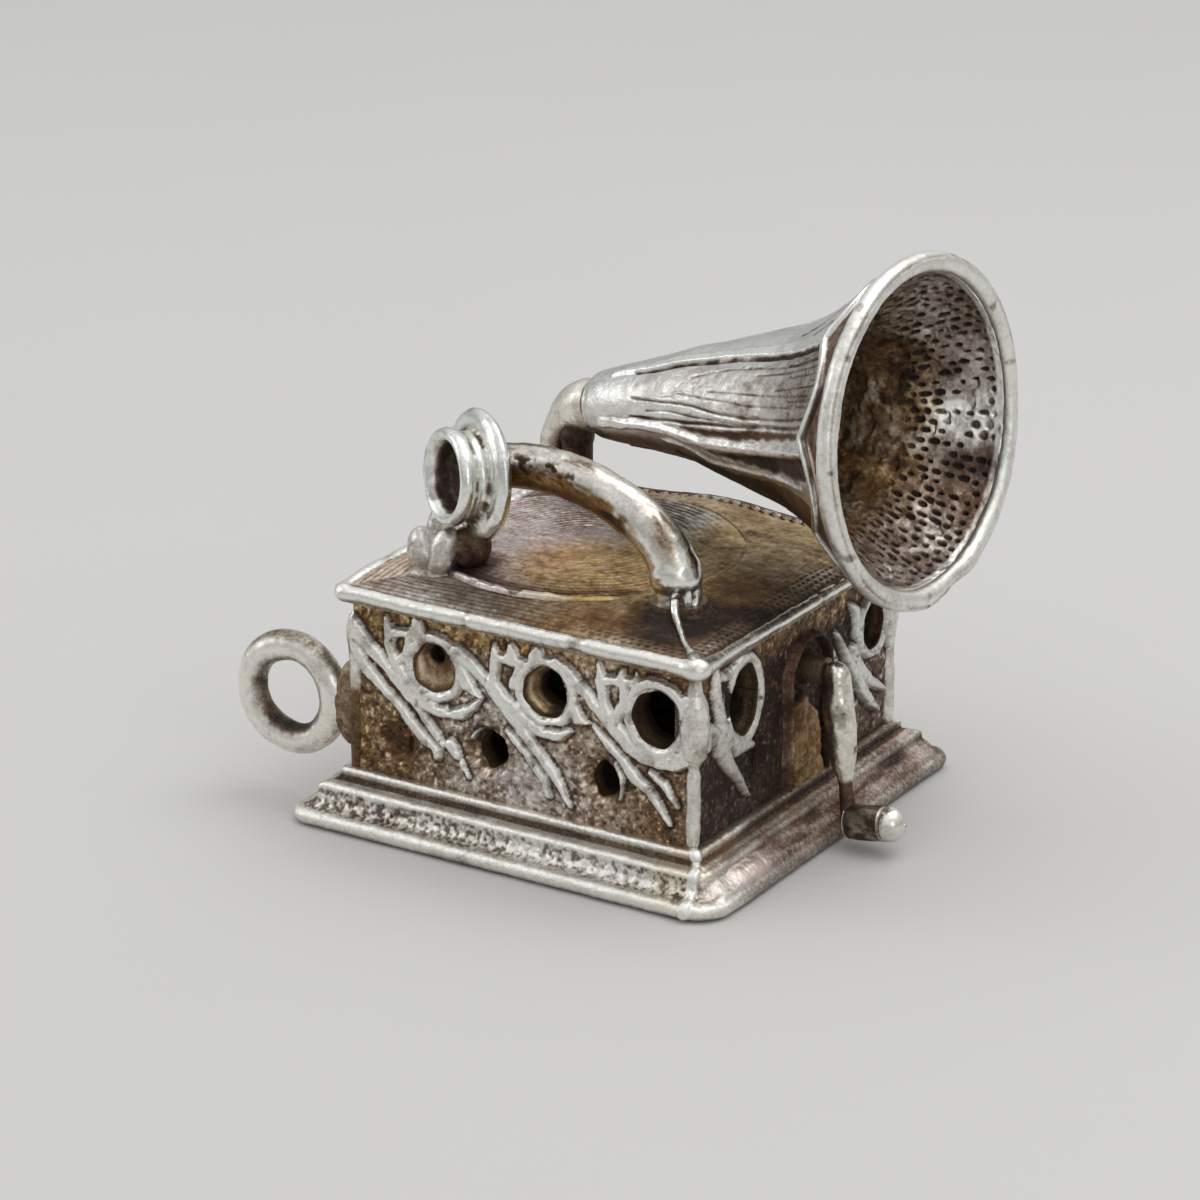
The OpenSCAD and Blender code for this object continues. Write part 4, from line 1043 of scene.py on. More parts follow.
def add_spill(shape):
    """Dark spill round the arm's foot."""
    a = circle(96)
    uneven = 1 + 0.10 * np.sin(3 * a + 1) + 0.05 * np.sin(7 * a)
    rows = []
    for r, z in ((0.5, 0.32), (0.8, 0.30), (0.95, 0.24), (1.10, 0.13), (1.26, 0.0)):
        x, y = ARM_X + 0.05 + r * uneven * np.cos(a), ARM_Y - 0.05 + r * uneven * np.sin(a)
        rows.append(xyz(x, y, LID_TOP + z + 0.03 * noise2(x, y, 3, 48)))
    p = np.array(rows)
    shape.add(p, ring_quads(p), dark=0.93, gold=0.4, mauve=0.4)


tone_arm()


# Sound box: a spool on the arm's end

BOX_X, BOX_Y = ARM_X - 6.57, ARM_Y - 0.3
BOX = shift(BOX_X, BOX_Y, LID_TOP + 3.12) @ rot("Z", 238) @ rot("Y", 85)
SPOOL = [(0.0, -0.28), (1.2, -0.27), (1.62, -0.24), (1.84, -0.16), (1.96, -0.02), (1.97, 0.1), (1.86, 0.22),
         (1.7, 0.28), (1.5, 0.30), (1.36, 0.36), (1.30, 0.48), (1.30, 0.62), (1.34, 0.70), (1.40, 0.78),
         (1.45, 0.90), (1.46, 1.02), (1.42, 1.13), (1.35, 1.20), (1.26, 1.22), (1.17, 1.19), (1.08, 1.10),
         (1.01, 0.96), (0.97, 0.80), (0.93, 0.62), (0.88, 0.50), (0.5, 0.44), (0.0, 0.44)]


def spool():
    profile = rounded(SPOOL, 0.045, 2)
    p = lathe(profile, 168, BOX)
    k = len(profile)
    r, h = profile.T[:, :, None]
    normal = ring_normals(p)
    centre = moved(np.array([0, 0, 0.4]), BOX)
    if np.sum(normal[k // 2] * (p[k // 2] - centre)) < 0:
        normal = -normal
    groove = near(h - 0.48, 0.2, 0.1) * smooth(r, 1.3, 1.36) * smooth(r, 1.6, 1.5)
    dish = smooth(r, 1.05, 0.97) * smooth(h, 0.36, 0.46) * (np.arange(k)[:, None] > 0.5 * k)
    lumps = fbm(p, 3.4, 3, 53)
    d = 0.018 * fbm(p, 2.0, 3, 51) + groove * (0.09 * lumps) + dish * 0.05 * fbm(p, 3, 2, 54)
    p = p + normal * d[..., None]
    dark = 0.06 + groove * (0.25 + 0.5 * smooth(lumps, 0.15, -0.25)) + 0.80 * dish
    dark = dark + 0.34 * smooth(noise(p, 1.5, 55), 0.35, 0.75) * (1 - dish) + 0.25 * smooth(-h, 0.0, 0.2)
    gold, mauve = np.broadcast_arrays(0.2 * groove, dish, dark)[:2]
    shape = Shape()
    shape.add(p, ring_quads(p), dark=dark, gold=gold, mauve=mauve)
    shape.build("sound_box", polished, ("soundbox",))


spool()


# Solder lumps


def add_blob(shape, centre, radii, seed, rough, dark, gold, mauve, turn=0.0, lean=0.0):
    """An uneven ball of solder."""
    m = 80
    down, about = np.meshgrid(np.linspace(0.001, np.pi - 0.001, m // 2), circle(m), indexing="ij")
    n = xyz(np.sin(down) * np.cos(about), np.sin(down) * np.sin(about), np.cos(down))
    r = (rot("Z", turn) @ rot("Y", lean))[:3, :3]
    p = (n * radii) @ r.T + centre
    d = rough * fbm(p, 1.1 / max(radii), 3, seed) + 0.25 * rough * fbm(p, 5, 2, seed + 1)
    dark = dark + 0.25 * smooth(fbm(p, 2.0, 2, seed + 2), 0.1, 0.6)
    p = p + (n @ r.T) * d[..., None]
    shape.add(p, ring_quads(p), dark=dark, gold=gold, mauve=mauve)


def box_solder():
    """The lump under the sound box with the two halves of its stub, and the brown ball beside it."""
    x, y, z = BOX_X - 1.23, BOX_Y - 0.52, LID_TOP
    lump, ball = Shape(), Shape()
    add_blob(lump, (x - 0.30, y - 0.05, z + 0.60), (0.52, 0.62, 0.82), 61, 0.07, 0.24, 0.05, 0.2, 20, -14)
    add_blob(lump, (x + 0.36, y - 0.10, z + 0.66), (0.50, 0.60, 0.92), 62, 0.07, 0.24, 0.05, 0.2, 20, 12)
    add_blob(lump, (x + 0.15, y + 0.05, z + 1.35), (0.42, 0.42, 0.8), 63, 0.07, 0.24, 0.05, 0.2, 20, 8)
    add_blob(lump, (x, y, z + 0.14), (0.86, 0.86, 0.26), 64, 0.07, 0.4, 0.05, 0.2, 20)
    lump.build("solder_lump", worn, ("needle_block",))
    add_blob(ball, (x + 1.0, y + 0.42, z + 0.92), (0.64, 0.62, 0.66), 66, 0.10, 0.62, 0.55, 0.3)
    add_blob(ball, (x + 0.62, y - 0.1, z + 0.82), (0.28, 0.3, 0.42), 67, 0.10, 0.55, 0.55, 0.3)
    ball.build("solder_ball", worn, ("solder_bead",), slot="dark_silver")


box_solder()


# Horn

HORN_YAW, THROAT_LEN, HORN_LEN = -4.8, 4.05, 7.8
THROAT_R, KNEE_R, RIM_R, RIM_HALF, BELL_WALL = 0.86, 1.78, 4.91, 0.30, 0.28
TOTAL_LEN = THROAT_LEN + HORN_LEN
MOUTH = np.array([8.14, 3.0, CASE_H + 4.63])


def direction(yaw, up):
    """Unit direction, yaw degrees from +X towards +Y and up degrees above level."""
    yaw, up = math.radians(yaw), math.radians(up)
    return np.array([math.cos(up) * math.cos(yaw), math.cos(up) * math.sin(yaw), math.sin(up)])


AXIS, THROAT_AXIS = direction(HORN_YAW, 5.0), direction(HORN_YAW, 11.5)
KNEE = MOUTH - AXIS * HORN_LEN
THROAT = KNEE - THROAT_AXIS * THROAT_LEN
# Distance from the knee and radius there
BELL = np.array([(0, KNEE_R), (1, 2.04), (2, 2.32), (3, 2.6), (4, 2.9), (4.8, 3.24), (5.4, 3.58), (6, 4.0),
                 (6.6, 4.4), (7.2, 4.74), (7.8, 4.95)])


def horn_frame(s):
    """Centre, sideways, up and forward directions at distance s from the throat."""
    s = np.asarray(s, float)[:, None]
    k = smooth(s, THROAT_LEN - 0.9, THROAT_LEN + 0.9)
    centre = (THROAT + THROAT_AXIS * s) * (1 - k) + (KNEE + AXIS * (s - THROAT_LEN)) * k
    ahead = unit(THROAT_AXIS * (1 - k) + AXIS * k)
    side = unit(np.cross(ahead, np.array([0, 0, 1.0])))
    return centre, side, np.cross(side, ahead), ahead


def horn_radius(s):
    cone = THROAT_R + (KNEE_R - THROAT_R) * clip01(s / THROAT_LEN)
    return np.where(s < THROAT_LEN, cone, np.interp(s - THROAT_LEN, *BELL.T))


def horn_grid(s, r):
    """Points at distance s along the horn and radius r; the angle starts on top and goes to the front."""
    centre, side, up, _ = (v[:, None, :] for v in horn_frame(s))
    a = circle(r.shape[1])[None, :, None]
    out = up * np.cos(a) + side * np.sin(a)
    return centre + out * r[..., None], out


def ribbon(s, a, base, pts, w):
    """Distance on the horn's skin to a line of points (distance from the throat, degrees from the top)."""
    pts = np.asarray(pts, float)
    w = np.broadcast_to(np.asarray(w, float), (len(pts),))
    best = np.full(base.shape, FAR)
    for (s0, a0), (s1, a1), w0, w1 in zip(pts[:-1], pts[1:], w[:-1], w[1:]):
        v = np.radians(degrees_from(np.degrees(a), a0)) * base
        dv = math.radians(a1 - a0) * base
        u = s[:, None] - s0
        ds = s1 - s0
        t = clip01((u * ds + v * dv) / (ds * ds + dv * dv))
        best = np.minimum(best, np.hypot(u - t * ds, v - t * dv) - (w0 + (w1 - w0) * t))
    return best


# Lines along the horn: points (distance from the throat, degrees from the top), half widths, depth, darkness
SEAMS = (
    ([(2.4, 35), (3.4, 37), (4.2, 36), (4.9, 35), (6.6, 36), (8.3, 39), (9.3, 41), (10.4, 43)],
     [0.01, 0.03, 0.04, 0.05, 0.055, 0.06, 0.065, 0.07], 0.09, 0.95),
    ([(4.8, 50), (5.6, 46), (6.4, 44.5), (7.6, 45), (10.4, 50)], 0.01, 0.02, 0.4),
    ([(2.5, 69), (3.8, 75), (5.0, 75), (6.2, 78), (7.3, 78), (8.7, 76), (10.4, 73), (10.9, 71)],
     0.018, 0.035, 0.65),
    ([(2.4, 92), (3.7, 94), (4.6, 92), (5.5, 88), (6.9, 85), (8.2, 81), (9.8, 78), (10.6, 76)],
     0.035, 0.05, 0.75),
    ([(3.1, 84), (5.2, 84), (7.4, 82)], 0.012, 0.02, 0.5),
    ([(8.6, 60), (10.9, 60)], 0.012, 0.02, 0.45),
    ([(9.4, 66), (10.9, 65.5)], 0.012, 0.02, 0.4),
    ([(9.2, 54), (10.7, 55)], 0.012, 0.02, 0.4),
    ([(8.7, 24), (9.7, 22), (10.7, 19)], 0.03, 0.03, 0.8),
    ([(9.4, 30), (10.7, 28)], 0.02, 0.02, 0.6),
    ([(9.0, 47), (10.8, 49)], 0.03, 0.03, 0.7),
    ([(7.6, 50), (10.8, 52)], 0.012, 0.02, 0.5),
    ([(5.6, 62), (8.0, 63), (10.8, 64)], 0.006, 0.012, 0.45),
    ([(4.4, 66), (7.4, 70), (10.9, 68)], 0.006, 0.012, 0.45))
# Points, half widths and height
RIDGES = (
    ([(1.4, 28), (4.9, 29), (8.0, 33), (10.4, 39)], [0.10, 0.20, 0.26, 0.24], 0.09),
    ([(1.0, 104), (2.7, 102), (3.6, 104), (4.5, 106), (5.4, 105), (7.2, 98.5), (9.2, 91.5), (10.5, 86.5)],
     [0.12, 0.14, 0.14, 0.14, 0.14, 0.15, 0.16, 0.12], 0.12),
    ([(3.5, 118), (4.8, 118), (5.6, 122), (7.0, 115.5), (8.4, 110.5), (10.3, 102)],
     [0.03, 0.05, 0.05, 0.06, 0.06, 0.07], 0.07))
# Points, half widths, depth, darkness and gold
VALLEYS = (
    ([(4.4, 97), (5.2, 95.5), (6.9, 91), (8.5, 85), (10.3, 80)],
     [0.02, 0.10, 0.16, 0.16, 0.10], 0.04, 0.62, 0.6),
    ([(5.2, 113), (7.0, 107), (8.5, 101), (10.4, 93)], [0.03, 0.17, 0.28, 0.40], 0.05, 0.68, 0.45),
    # The last one is not sunk: a broad band on the lower front, painted dark and gold as shade with a painted
    # reflection of the lid
    ([(4.0, 140), (6.5, 136), (8.5, 130), (10.6, 122)], [0.3, 0.5, 0.9, 1.2], 0.0, 0.40, 0.9))
FAR_SEAMS = (165, 205, 247, 290, 326)


def horn_lines(s, a, base, rough, breaks):
    """Seams (dark, sunk), ridges (bright, raised) and valleys (dark, broad)."""
    h, dark, gold, mauve = -0.05 + 0 * base, 0.09 + 0 * base, 0 * base, 0.12 + 0 * base
    for pts, w, deep, ink in SEAMS:
        d = ribbon(s, a, base, pts, w) + 0.45 * rough
        h = h - deep * smooth(d, 0.07, 0.0)
        dark = dark + ink * smooth(d, 0.05, -0.01) * breaks
    for pts, w, high in RIDGES:
        raised = smooth(ribbon(s, a, base, pts, w) + rough, 0.10, -0.06)
        h, dark, gold = h + high * raised, dark - 0.30 * raised, gold * (1 - raised)
    for pts, w, deep, ink, golden in VALLEYS:
        sunk = smooth(ribbon(s, a, base, pts, w) + 2 * rough, 0.08, -0.08)
        h, dark, gold, mauve = h - deep * sunk, dark + ink * sunk, gold + golden * sunk, mauve + 0.5 * sunk
    for at in FAR_SEAMS:
        d = ribbon(s, a, base, [(1.6, at), (6.0, at + 1.5), (10.6, at)], [0.01, 0.04, 0.07]) + rough
        h = h - 0.06 * smooth(d, 0.07, 0.0) + 0.04 * near(d - 0.16, 0.1, 0.0)
        dark = dark + 0.6 * smooth(d, 0.06, -0.01)
    return h, dark, gold, mauve


def horn_outside():
    """The cone with its seams, up to the scalloped ends of its petals and the hollow below the rim."""
    m = 480
    s = np.concatenate([np.linspace(0.1, 9.6, 200), np.linspace(9.63, TOTAL_LEN - 0.1, 84)])
    a = circle(m)
    deg, ss = np.degrees(a), s[:, None]
    base = horn_radius(s)[:, None] * np.ones((1, m))
    p, out = horn_grid(s, base)
    petal = np.radians((deg - 40) / 40.0 * 180)
    slope = 0.58 * np.pi / 40 * np.cos(petal) * 57.3 / 4.4
    off = (ss - 10.42 - 0.58 * np.abs(np.sin(petal))) / np.sqrt(1 + slope ** 2)
    on_cone = smooth(off, 0.0, -0.10)
    rough = 0.05 * fbm(p, 3.0, 2, 28) + 0.02
    breaks = 0.55 + 0.45 * smooth(fbm(p, 2.4, 2, 27), -0.35, 0.25)
    h, dark, gold, mauve = horn_lines(s, a, base, rough, breaks)
    q = xyz(ss * 0.9, base * np.cos(a) * 3.2, base * np.sin(a) * 3.2)
    scratch = fbm(q, 1.0, 3, 22)
    fine = fbm(q * (1.6, 1.1, 1.1), 2.2, 3, 29)
    grain = fbm(p, 4.5, 3, 23)
    wrinkle = near(fbm(q * (0.16, 1.9, 1.9), 1.0, 2, 47), 0.05, 0.012)
    wrinkle = wrinkle * smooth(fbm(p, 1.1, 2, 48), -0.15, 0.2)
    panel = near(deg - 58, 24, 14) * smooth(ss, 1.6, 3.2)
    # The panel is painted lighter towards the throat as a sheen, and darker towards the bell
    dark = dark + panel * (0.07 + 0.15 * smooth(ss, 4.0, 8.5) + 0.07 * smooth(fine, -0.05, 0.5)
                           + 0.07 * smooth(scratch, 0.0, 0.5) + 0.26 * wrinkle * smooth(ss, 3.5, 8.0)
                           + 0.12 * smooth(ss, 8.5, 10.4))
    dark = dark + (1 - 0.7 * panel) * (0.18 * smooth(scratch, 0.25, 0.6)
                                       + 0.10 * smooth(fbm(p, 0.8, 2, 24), 0.0, 0.5))
    # The lower front is painted darker as shade
    dark = dark + 0.14 * smooth(deg, 84, 100) * smooth(deg, 180, 160)
    mauve = mauve + 0.16 * panel
    # Round shoulder after the neck's groove
    h = h - 0.014 * wrinkle * panel + 0.12 * smooth(ss, 0.1, 0.5) * smooth(ss, 3.2, 0.6)
    # The petals' ends: one bright bead, a dark cleft behind it, then the dark hollow below the rim
    bead = near(off, 0.17, 0.05)
    cleft = near(off - 0.21 - 0.08 * np.sin(3 * a), 0.07, 0.02) * smooth(np.sin(5 * a + 1), -0.2, 0.4)
    bell = smooth(off, 0.12, 0.25)
    second = near(off - 0.34, 0.08, 0.03) * smooth(np.sin(4.5 * a + 0.4), 0.2, 0.7)
    h = h * (1 - bead) + 0.10 * bead - 0.03 * bell - 0.06 * cleft + 0.08 * second
    dark = dark * (1 - bead) * (1 - bell) + 0.05 * bead + bell * (0.66 + 0.2 * grain)
    dark = dark + 0.4 * cleft - 0.5 * second
    # The lower side is painted darker and gold as shade with a painted reflection of the lid below
    low = smooth(-out[..., 2], 0.30, 0.72)
    dark = dark + 0.46 * low * on_cone
    gold = (gold + 0.6 * low) * on_cone + 0.30 * bell
    mauve = mauve * on_cone + 0.7 * bell
    h = h + 0.025 * fbm(p, 0.9, 2, 20) + 0.010 * grain + 0.008 * scratch * on_cone
    p = p + out * np.minimum(h, 0.11)[..., None]
    shape = Shape()
    shape.add(p, ring_quads(p), dark=dark, gold=clip01(gold), mauve=clip01(mauve))
    skin = silver("horn_silver", bump=0.4, rough=0.22, spread=0.42, streak=(0.35, 1.3, 1.3))
    shape.build("horn_outside", skin, ("horn_cone", "horn_collar"))


horn_outside()


def rim_place(a):
    """The rim's distance from the horn's axis, and its own half thickness, which swells and thins."""
    def at(centre, width):
        return spot((degrees_from(np.degrees(a), centre),), (0,), (width,))

    lobes = 0.11 * at(176, 9.0) - 0.08 * at(192, 5.0) + 0.09 * at(204, 5.0) + 0.02 * np.sin(5 * a)
    half = RIM_HALF + lobes * 0.4 - 0.03 * at(262, 60.0)
    return RIM_R + 0.02 * np.cos(2 * a + 1.0) + lobes * 0.5, half


def bell_pits(s, a, base, end):
    """Pits in columns running down the bell."""
    cell = a / (2 * np.pi) * 82 + 0.12 * np.sin(5 * a)
    column = np.floor(cell).astype(int)[None, :] + np.zeros((len(s), 1), int)
    run = s[:, None] / 0.35 + 0.5 * (column % 2) + 0.25 * lattice(column, 0, 3, 5)
    row = np.floor(run).astype(int)
    size = 0.98 + 0.34 * lattice(row, column, 4, 9)
    across = (cell - np.floor(cell) - 0.5 - lattice(row, column, 1, 7) * 0.12) * (base / 4.2) ** 0.5
    along = run - row - 0.5 - lattice(row, column, 2, 8) * 0.10
    longer = lattice(row, column, 5, 10)
    dist = np.hypot(across * (1.42 + 0.22 * longer), along * (1.10 - 0.25 * longer))
    pit = smooth(dist, 0.40 * size, 0.27 * size) * (lattice(row, column, 6, 11) > -0.72)
    return pit * (smooth(s, 8.9, 9.9) * (1 - smooth(s, end - 0.34, end - 0.24)))[:, None]


def horn_inside():
    """The bell's inner face: pitted, brown and black deep down, grey-mauve near the mouth."""
    end = TOTAL_LEN - 0.06
    s = np.concatenate([np.linspace(1.7, THROAT_LEN + 1.8, 60), np.linspace(THROAT_LEN + 1.85, end, 230)])
    a, ss = circle(760), s[:, None]
    rim_r, rim_half = rim_place(a)
    base = np.minimum(horn_radius(ss) - BELL_WALL, rim_r - rim_half + 0.012)
    base = base + 0.12 * smooth(ss, end - 0.05, end)
    p0, out = horn_grid(s, base)
    pit = bell_pits(s, a, base, end)
    wave, webs = fbm(p0, 1.4, 3, 30), smooth(fbm(p0, 3.0, 2, 39), 0.1, 0.5)
    h = 0.10 * pit + 0.035 * wave + 0.025 * fbm(p0, 5, 2, 31) + 0.05 * webs * smooth(ss, end - 0.3, end - 0.8)

    def streak(centre, width, low, high):
        return spot((degrees_from(np.degrees(a), centre),), (0,), (width,)) * smooth(ss, low, high)

    depth = smooth(ss + 0.5 * fbm(p0, 0.9, 2, 43), 10.5, 9.0)
    lip = smooth(ss, end - 0.26, end - 0.16)
    bright = streak(260, 10.0, 9.2, 10.2)
    second = streak(205, 9.0, 9.6, 10.4)
    under = streak(243, 7.0, 9.6, 10.8)
    web = smooth(fbm(p0, 2.4, 3, 44), -0.25, 0.35)
    dark = 0.49 + 0.60 * pit + 0.08 * depth + 0.30 * under
    dark = dark - 0.70 * bright * (0.35 + 0.65 * web) - 0.32 * second * web - 0.40 * lip
    dark = dark + depth * (0.30 * smooth(fbm(p0, 3.4, 3, 45), 0.0, 0.5) + 0.16 * webs)
    dark = dark - 0.10 * smooth(fbm(p0, 6.0, 2, 46), 0.2, 0.6)
    dark = dark + 0.12 * smooth(wave, 0, 0.5) - 0.12 * smooth(wave, -0.1, -0.5)
    dark = dark + 0.10 * near(degrees_from(np.degrees(a), 320), 30, 5) * depth
    gold = depth * (0.75 + 0.5 * wave) + 0.35 * spot((degrees_from(np.degrees(a), 226),), (0,), (10.0,))
    mauve = 0.65 * (1 - depth) * (1 - bright) * (1 - 0.8 * lip)
    p = p0 + out * h[..., None]
    shape = Shape()
    shape.add(p, ring_quads(p)[:, ::-1], dark=dark, gold=clip01(gold), mauve=clip01(mauve))
    shape.add_fan(p[0], p[0].mean(0), dark=0.95, gold=0.3)
    skin = silver("pitted_silver", bump=0.5, rough=0.34, spread=0.55)
    shape.build("horn_inside", skin, ("horn_bell",), slot="aged_silver")


horn_inside()


def horn_rim():
    a = circle(480)
    side, up, ahead = (v[0] for v in horn_frame([TOTAL_LEN])[1:])
    r, half = rim_place(a)
    path = MOUTH + np.outer(r * np.cos(a), up) + np.outer(r * np.sin(a), side)
    path = path + np.outer(0.02 * np.cos(3 * a + 1) - 0.05, ahead)
    p, out = tube_points(path, half, 44, closed=True)
    radial = unit(path - MOUTH)[:, None, :]
    phi = np.degrees(np.arctan2(out @ ahead, np.sum(out * radial, -1)))
    crease = near(phi - 62 - 8 * np.sin(4 * a)[:, None], 13, 4) * smooth(fbm(p, 0.8, 2, 40), -0.3, 0.05)
    p = p + out * (0.02 * fbm(p, 1.6, 3, 33) + 0.014 * fbm(p, 5, 2, 34) - 0.022 * crease)[..., None]
    pock = smooth(fbm(p, 2.6, 2, 35), 0.42, 0.62)
    dark = 0.04 + 0.34 * pock + 0.22 * crease + 0.30 * near(phi + 90, 45, 15)
    dark = dark + 0.15 * smooth(fbm(p, 1.0, 2, 41), 0.1, 0.6)
    shape = Shape()
    shape.add_tube(p, dark, 0.12 * crease + 0.04, 0.05, closed=True)
    shape.build("bell_rim", silver("rim_silver", bump=0.3, rough=0.40, spread=0.6), ("horn_rim",))


horn_rim()


def horn_bend():
    """Bent tube: wide at the horn's throat, slim where it curls down to its post."""
    level_axis = direction(HORN_YAW, 0)
    curl = rounded([(0.36, 0.07), (0.18, 0.035), (0.0, 0.0), (-0.36, -0.09), (-0.67, -0.22), (-0.97, -0.46),
                    (-1.28, -0.82), (-1.5, -1.2), (-1.58, -1.6), (-1.48, -1.95), (-1.2, -2.2), (-0.85, -2.3),
                    (-0.62, -2.3)], 0.06, 8)
    path = THROAT + level_axis * curl[:, :1] + np.array([0, 0, 1.0]) * curl[:, 1:2]
    length = lengths_along(path)
    r = np.interp(length, [0, 0.3, 0.6, 1.0, 1.4, 1.9, 2.4, 3.0, 4.2],
                  [0.76, 0.80, 0.83, 0.76, 0.62, 0.48, 0.42, 0.38, 0.34])
    p, out = tube_points(path, r, 64)
    p = p + out * (0.025 * fbm(p, 1.5, 3, 36) + 0.01 * fbm(p, 5, 2, 37))[..., None]
    # The lower side is painted darker as shade, and where the tube curls down, its side facing along the horn
    # is painted dark as shadow
    dark = 0.10 + 0.35 * smooth(-out[..., 2], 0.2, 0.9) + 0.3 * smooth(fbm(p, 1.5, 2, 37), 0.25, 0.6)
    dark = dark + 0.5 * smooth(out @ level_axis, 0.3, 0.9) * smooth(length, 1.4, 2.2)[:, None]
    shape = Shape()
    shape.add_tube(p, dark, 0.15, 0.15)
    # A lump fills the space between the post's head and the bend, painted dark as shade under the bend
    head = (THROAT[0] - 0.657, THROAT[1] + 0.080, 9.50)
    add_blob(shape, head, (0.54, 0.54, 0.72), 38, 0.04, 0.86, 0.6, 0.2)
    shape.build("horn_bend", worn, ("horn_elbow",))


horn_bend()


def throat_ring():
    s = np.linspace(0.02, 0.52, 26)
    r = np.interp(s, [0.02, 0.06, 0.12, 0.2, 0.3, 0.42, 0.52], [0.78, 0.80, 0.83, 0.88, 0.90, 0.90, 0.88])
    p, out = horn_grid(s, r[:, None] * np.ones((1, 110)))
    p = p + out * (0.02 * fbm(p, 2.0, 2, 38))[..., None]
    dark = 0.12 + 0.55 * np.repeat(near(s - 0.08, 0.10, 0.02), 110)
    shape = Shape()
    shape.add(p, ring_quads(p), dark=dark, gold=0.1, mauve=0.2)
    shape.build("throat_band", worn, ("horn_ring",))


throat_ring()


# Crank: boss on the wall, then the arm and its handle, which turn

CRANK_Y, CRANK_Z, BOSS_T = 0.3, 5.2, 0.42
BORE_R, BORE_OUTER = 0.43, 0.455
ARCH_Y, ARCH_Z = 0.42, 4.92
# The pointed panel in the arch: places across and up
PANEL = np.array([(-0.72, 4.05), (0.22, 4.40), (0.98, 3.55), (1.40, 1.5), (-0.35, 1.5), (-0.75, 2.9)])


def boss():
    ys = np.linspace(CRANK_Y - 1.5, CRANK_Y + 1.85, 150)
    zs = np.linspace(PLINTH_H - 0.02, CRANK_Z + 1.2, 220)
    y, z = np.meshgrid(ys, zs, indexing="ij")
    wy = y + 0.10 * noise2(y, z, 1.3, 25) + 0.05 * noise2(y, z, 4.0, 26)
    wz = z + 0.10 * noise2(y, z, 1.3, 29) + 0.05 * noise2(y, z, 4.0, 30)
    top = np.hypot((wy - ARCH_Y) * 0.97, wz - ARCH_Z) - 1.32
    sd = smin(top, np.maximum(np.abs(wy - ARCH_Y) - 1.25, wz - ARCH_Z), 0.2)
    arch = smooth(sd, 0.0, -0.12)
    field = smooth(sd, -0.14, -0.26)
    within = np.full(y.shape, -FAR)
    for (ay, az), (by, bz) in zip(PANEL, np.roll(PANEL, -1, 0)):
        across = ((wz - az) * (by - ay) - (wy - ay) * (bz - az)) / math.hypot(by - ay, bz - az)
        within = np.maximum(within, across)
    panel = smooth(within, 0.04, -0.10)
    bore = np.hypot(y - CRANK_Y, z - CRANK_Z)
    collar = near(bore - 0.60, 0.16, 0.05)
    fold = near(wy - 0.25 + 0.25 * (wz - 3.0), 0.10, 0.0) * smooth(wz, 1.9, 2.8)
    ragged = fbm(xyz(y, z, 0), 2.4, 3, 24)
    h = 0.36 * arch - 0.34 * field + 0.26 * panel * field + 0.12 * collar * field + 0.05 * fold * panel
    h = h + 0.08 * ragged * arch + 0.02 * noise2(y, z, 6, 27)
    h = np.clip(np.where(sd > 0.02, -0.08, h), -0.08, BOSS_T)
    low_gold = smooth(wz + 0.35 * wy, 3.6, 2.4)
    # Near black, partly tarnish and partly painted shadow of the crank with its dark reflection; the pointed
    # panel is painted lighter and gold as a lit reflection
    dark = 0.86 + 0.14 * field * (1 - panel) - 0.30 * near(sd + 0.06, 0.13, 0.03) * smooth(ragged, -0.5, 0.3)
    dark = dark - 0.10 * collar - panel * (0.34 + 0.18 * ragged) - 0.15 * fold * panel
    gold = clip01(0.35 + panel * (0.55 + 1.2 * low_gold))
    mauve = clip01(0.9 - panel * 0.8 * low_gold)
    quads = faces_within(sd < 0.10)
    in_bore = (bore < BORE_R - 0.01).ravel()
    quads = quads[~(in_bore[quads[:, 0]] & in_bore[quads[:, 2]])]
    shape = Shape()
    shape.add(xyz(HALF + h, y, z), quads, dark=dark, gold=gold, mauve=mauve)
    lining = [(BORE_R, 0.16), (BORE_R, -0.7), (BORE_OUTER, -0.7), (BORE_OUTER, 0.16)]
    p = lathe(lining, 64, shift(HALF, CRANK_Y, CRANK_Z) @ rot("Y", 90))
    shape.add(p, grid_quads(len(lining), 64, True, True), dark=0.9, gold=0.3)
    shape.build("crank_plate", deep, ("crank_boss",), slot="dark_silver")


boss()
CRANK = shift(HALF + 1.15, CRANK_Y, CRANK_Z) @ rot("X", -3.2) @ rot("Y", -9)
# Height along the arm and radius there
ARM_SPINDLE = np.array([(-4.52, 0.26), (-4.0, 0.25), (-3.45, 0.21), (-3.28, 0.22), (-3.1, 0.26), (-2.8, 0.34),
                        (-2.5, 0.40), (-2.0, 0.455), (-1.5, 0.47), (-1.0, 0.47), (-0.5, 0.46), (-0.05, 0.42),
                        (0.1, 0.37), (0.25, 0.26), (0.33, 0.14), (0.36, 0.02)])


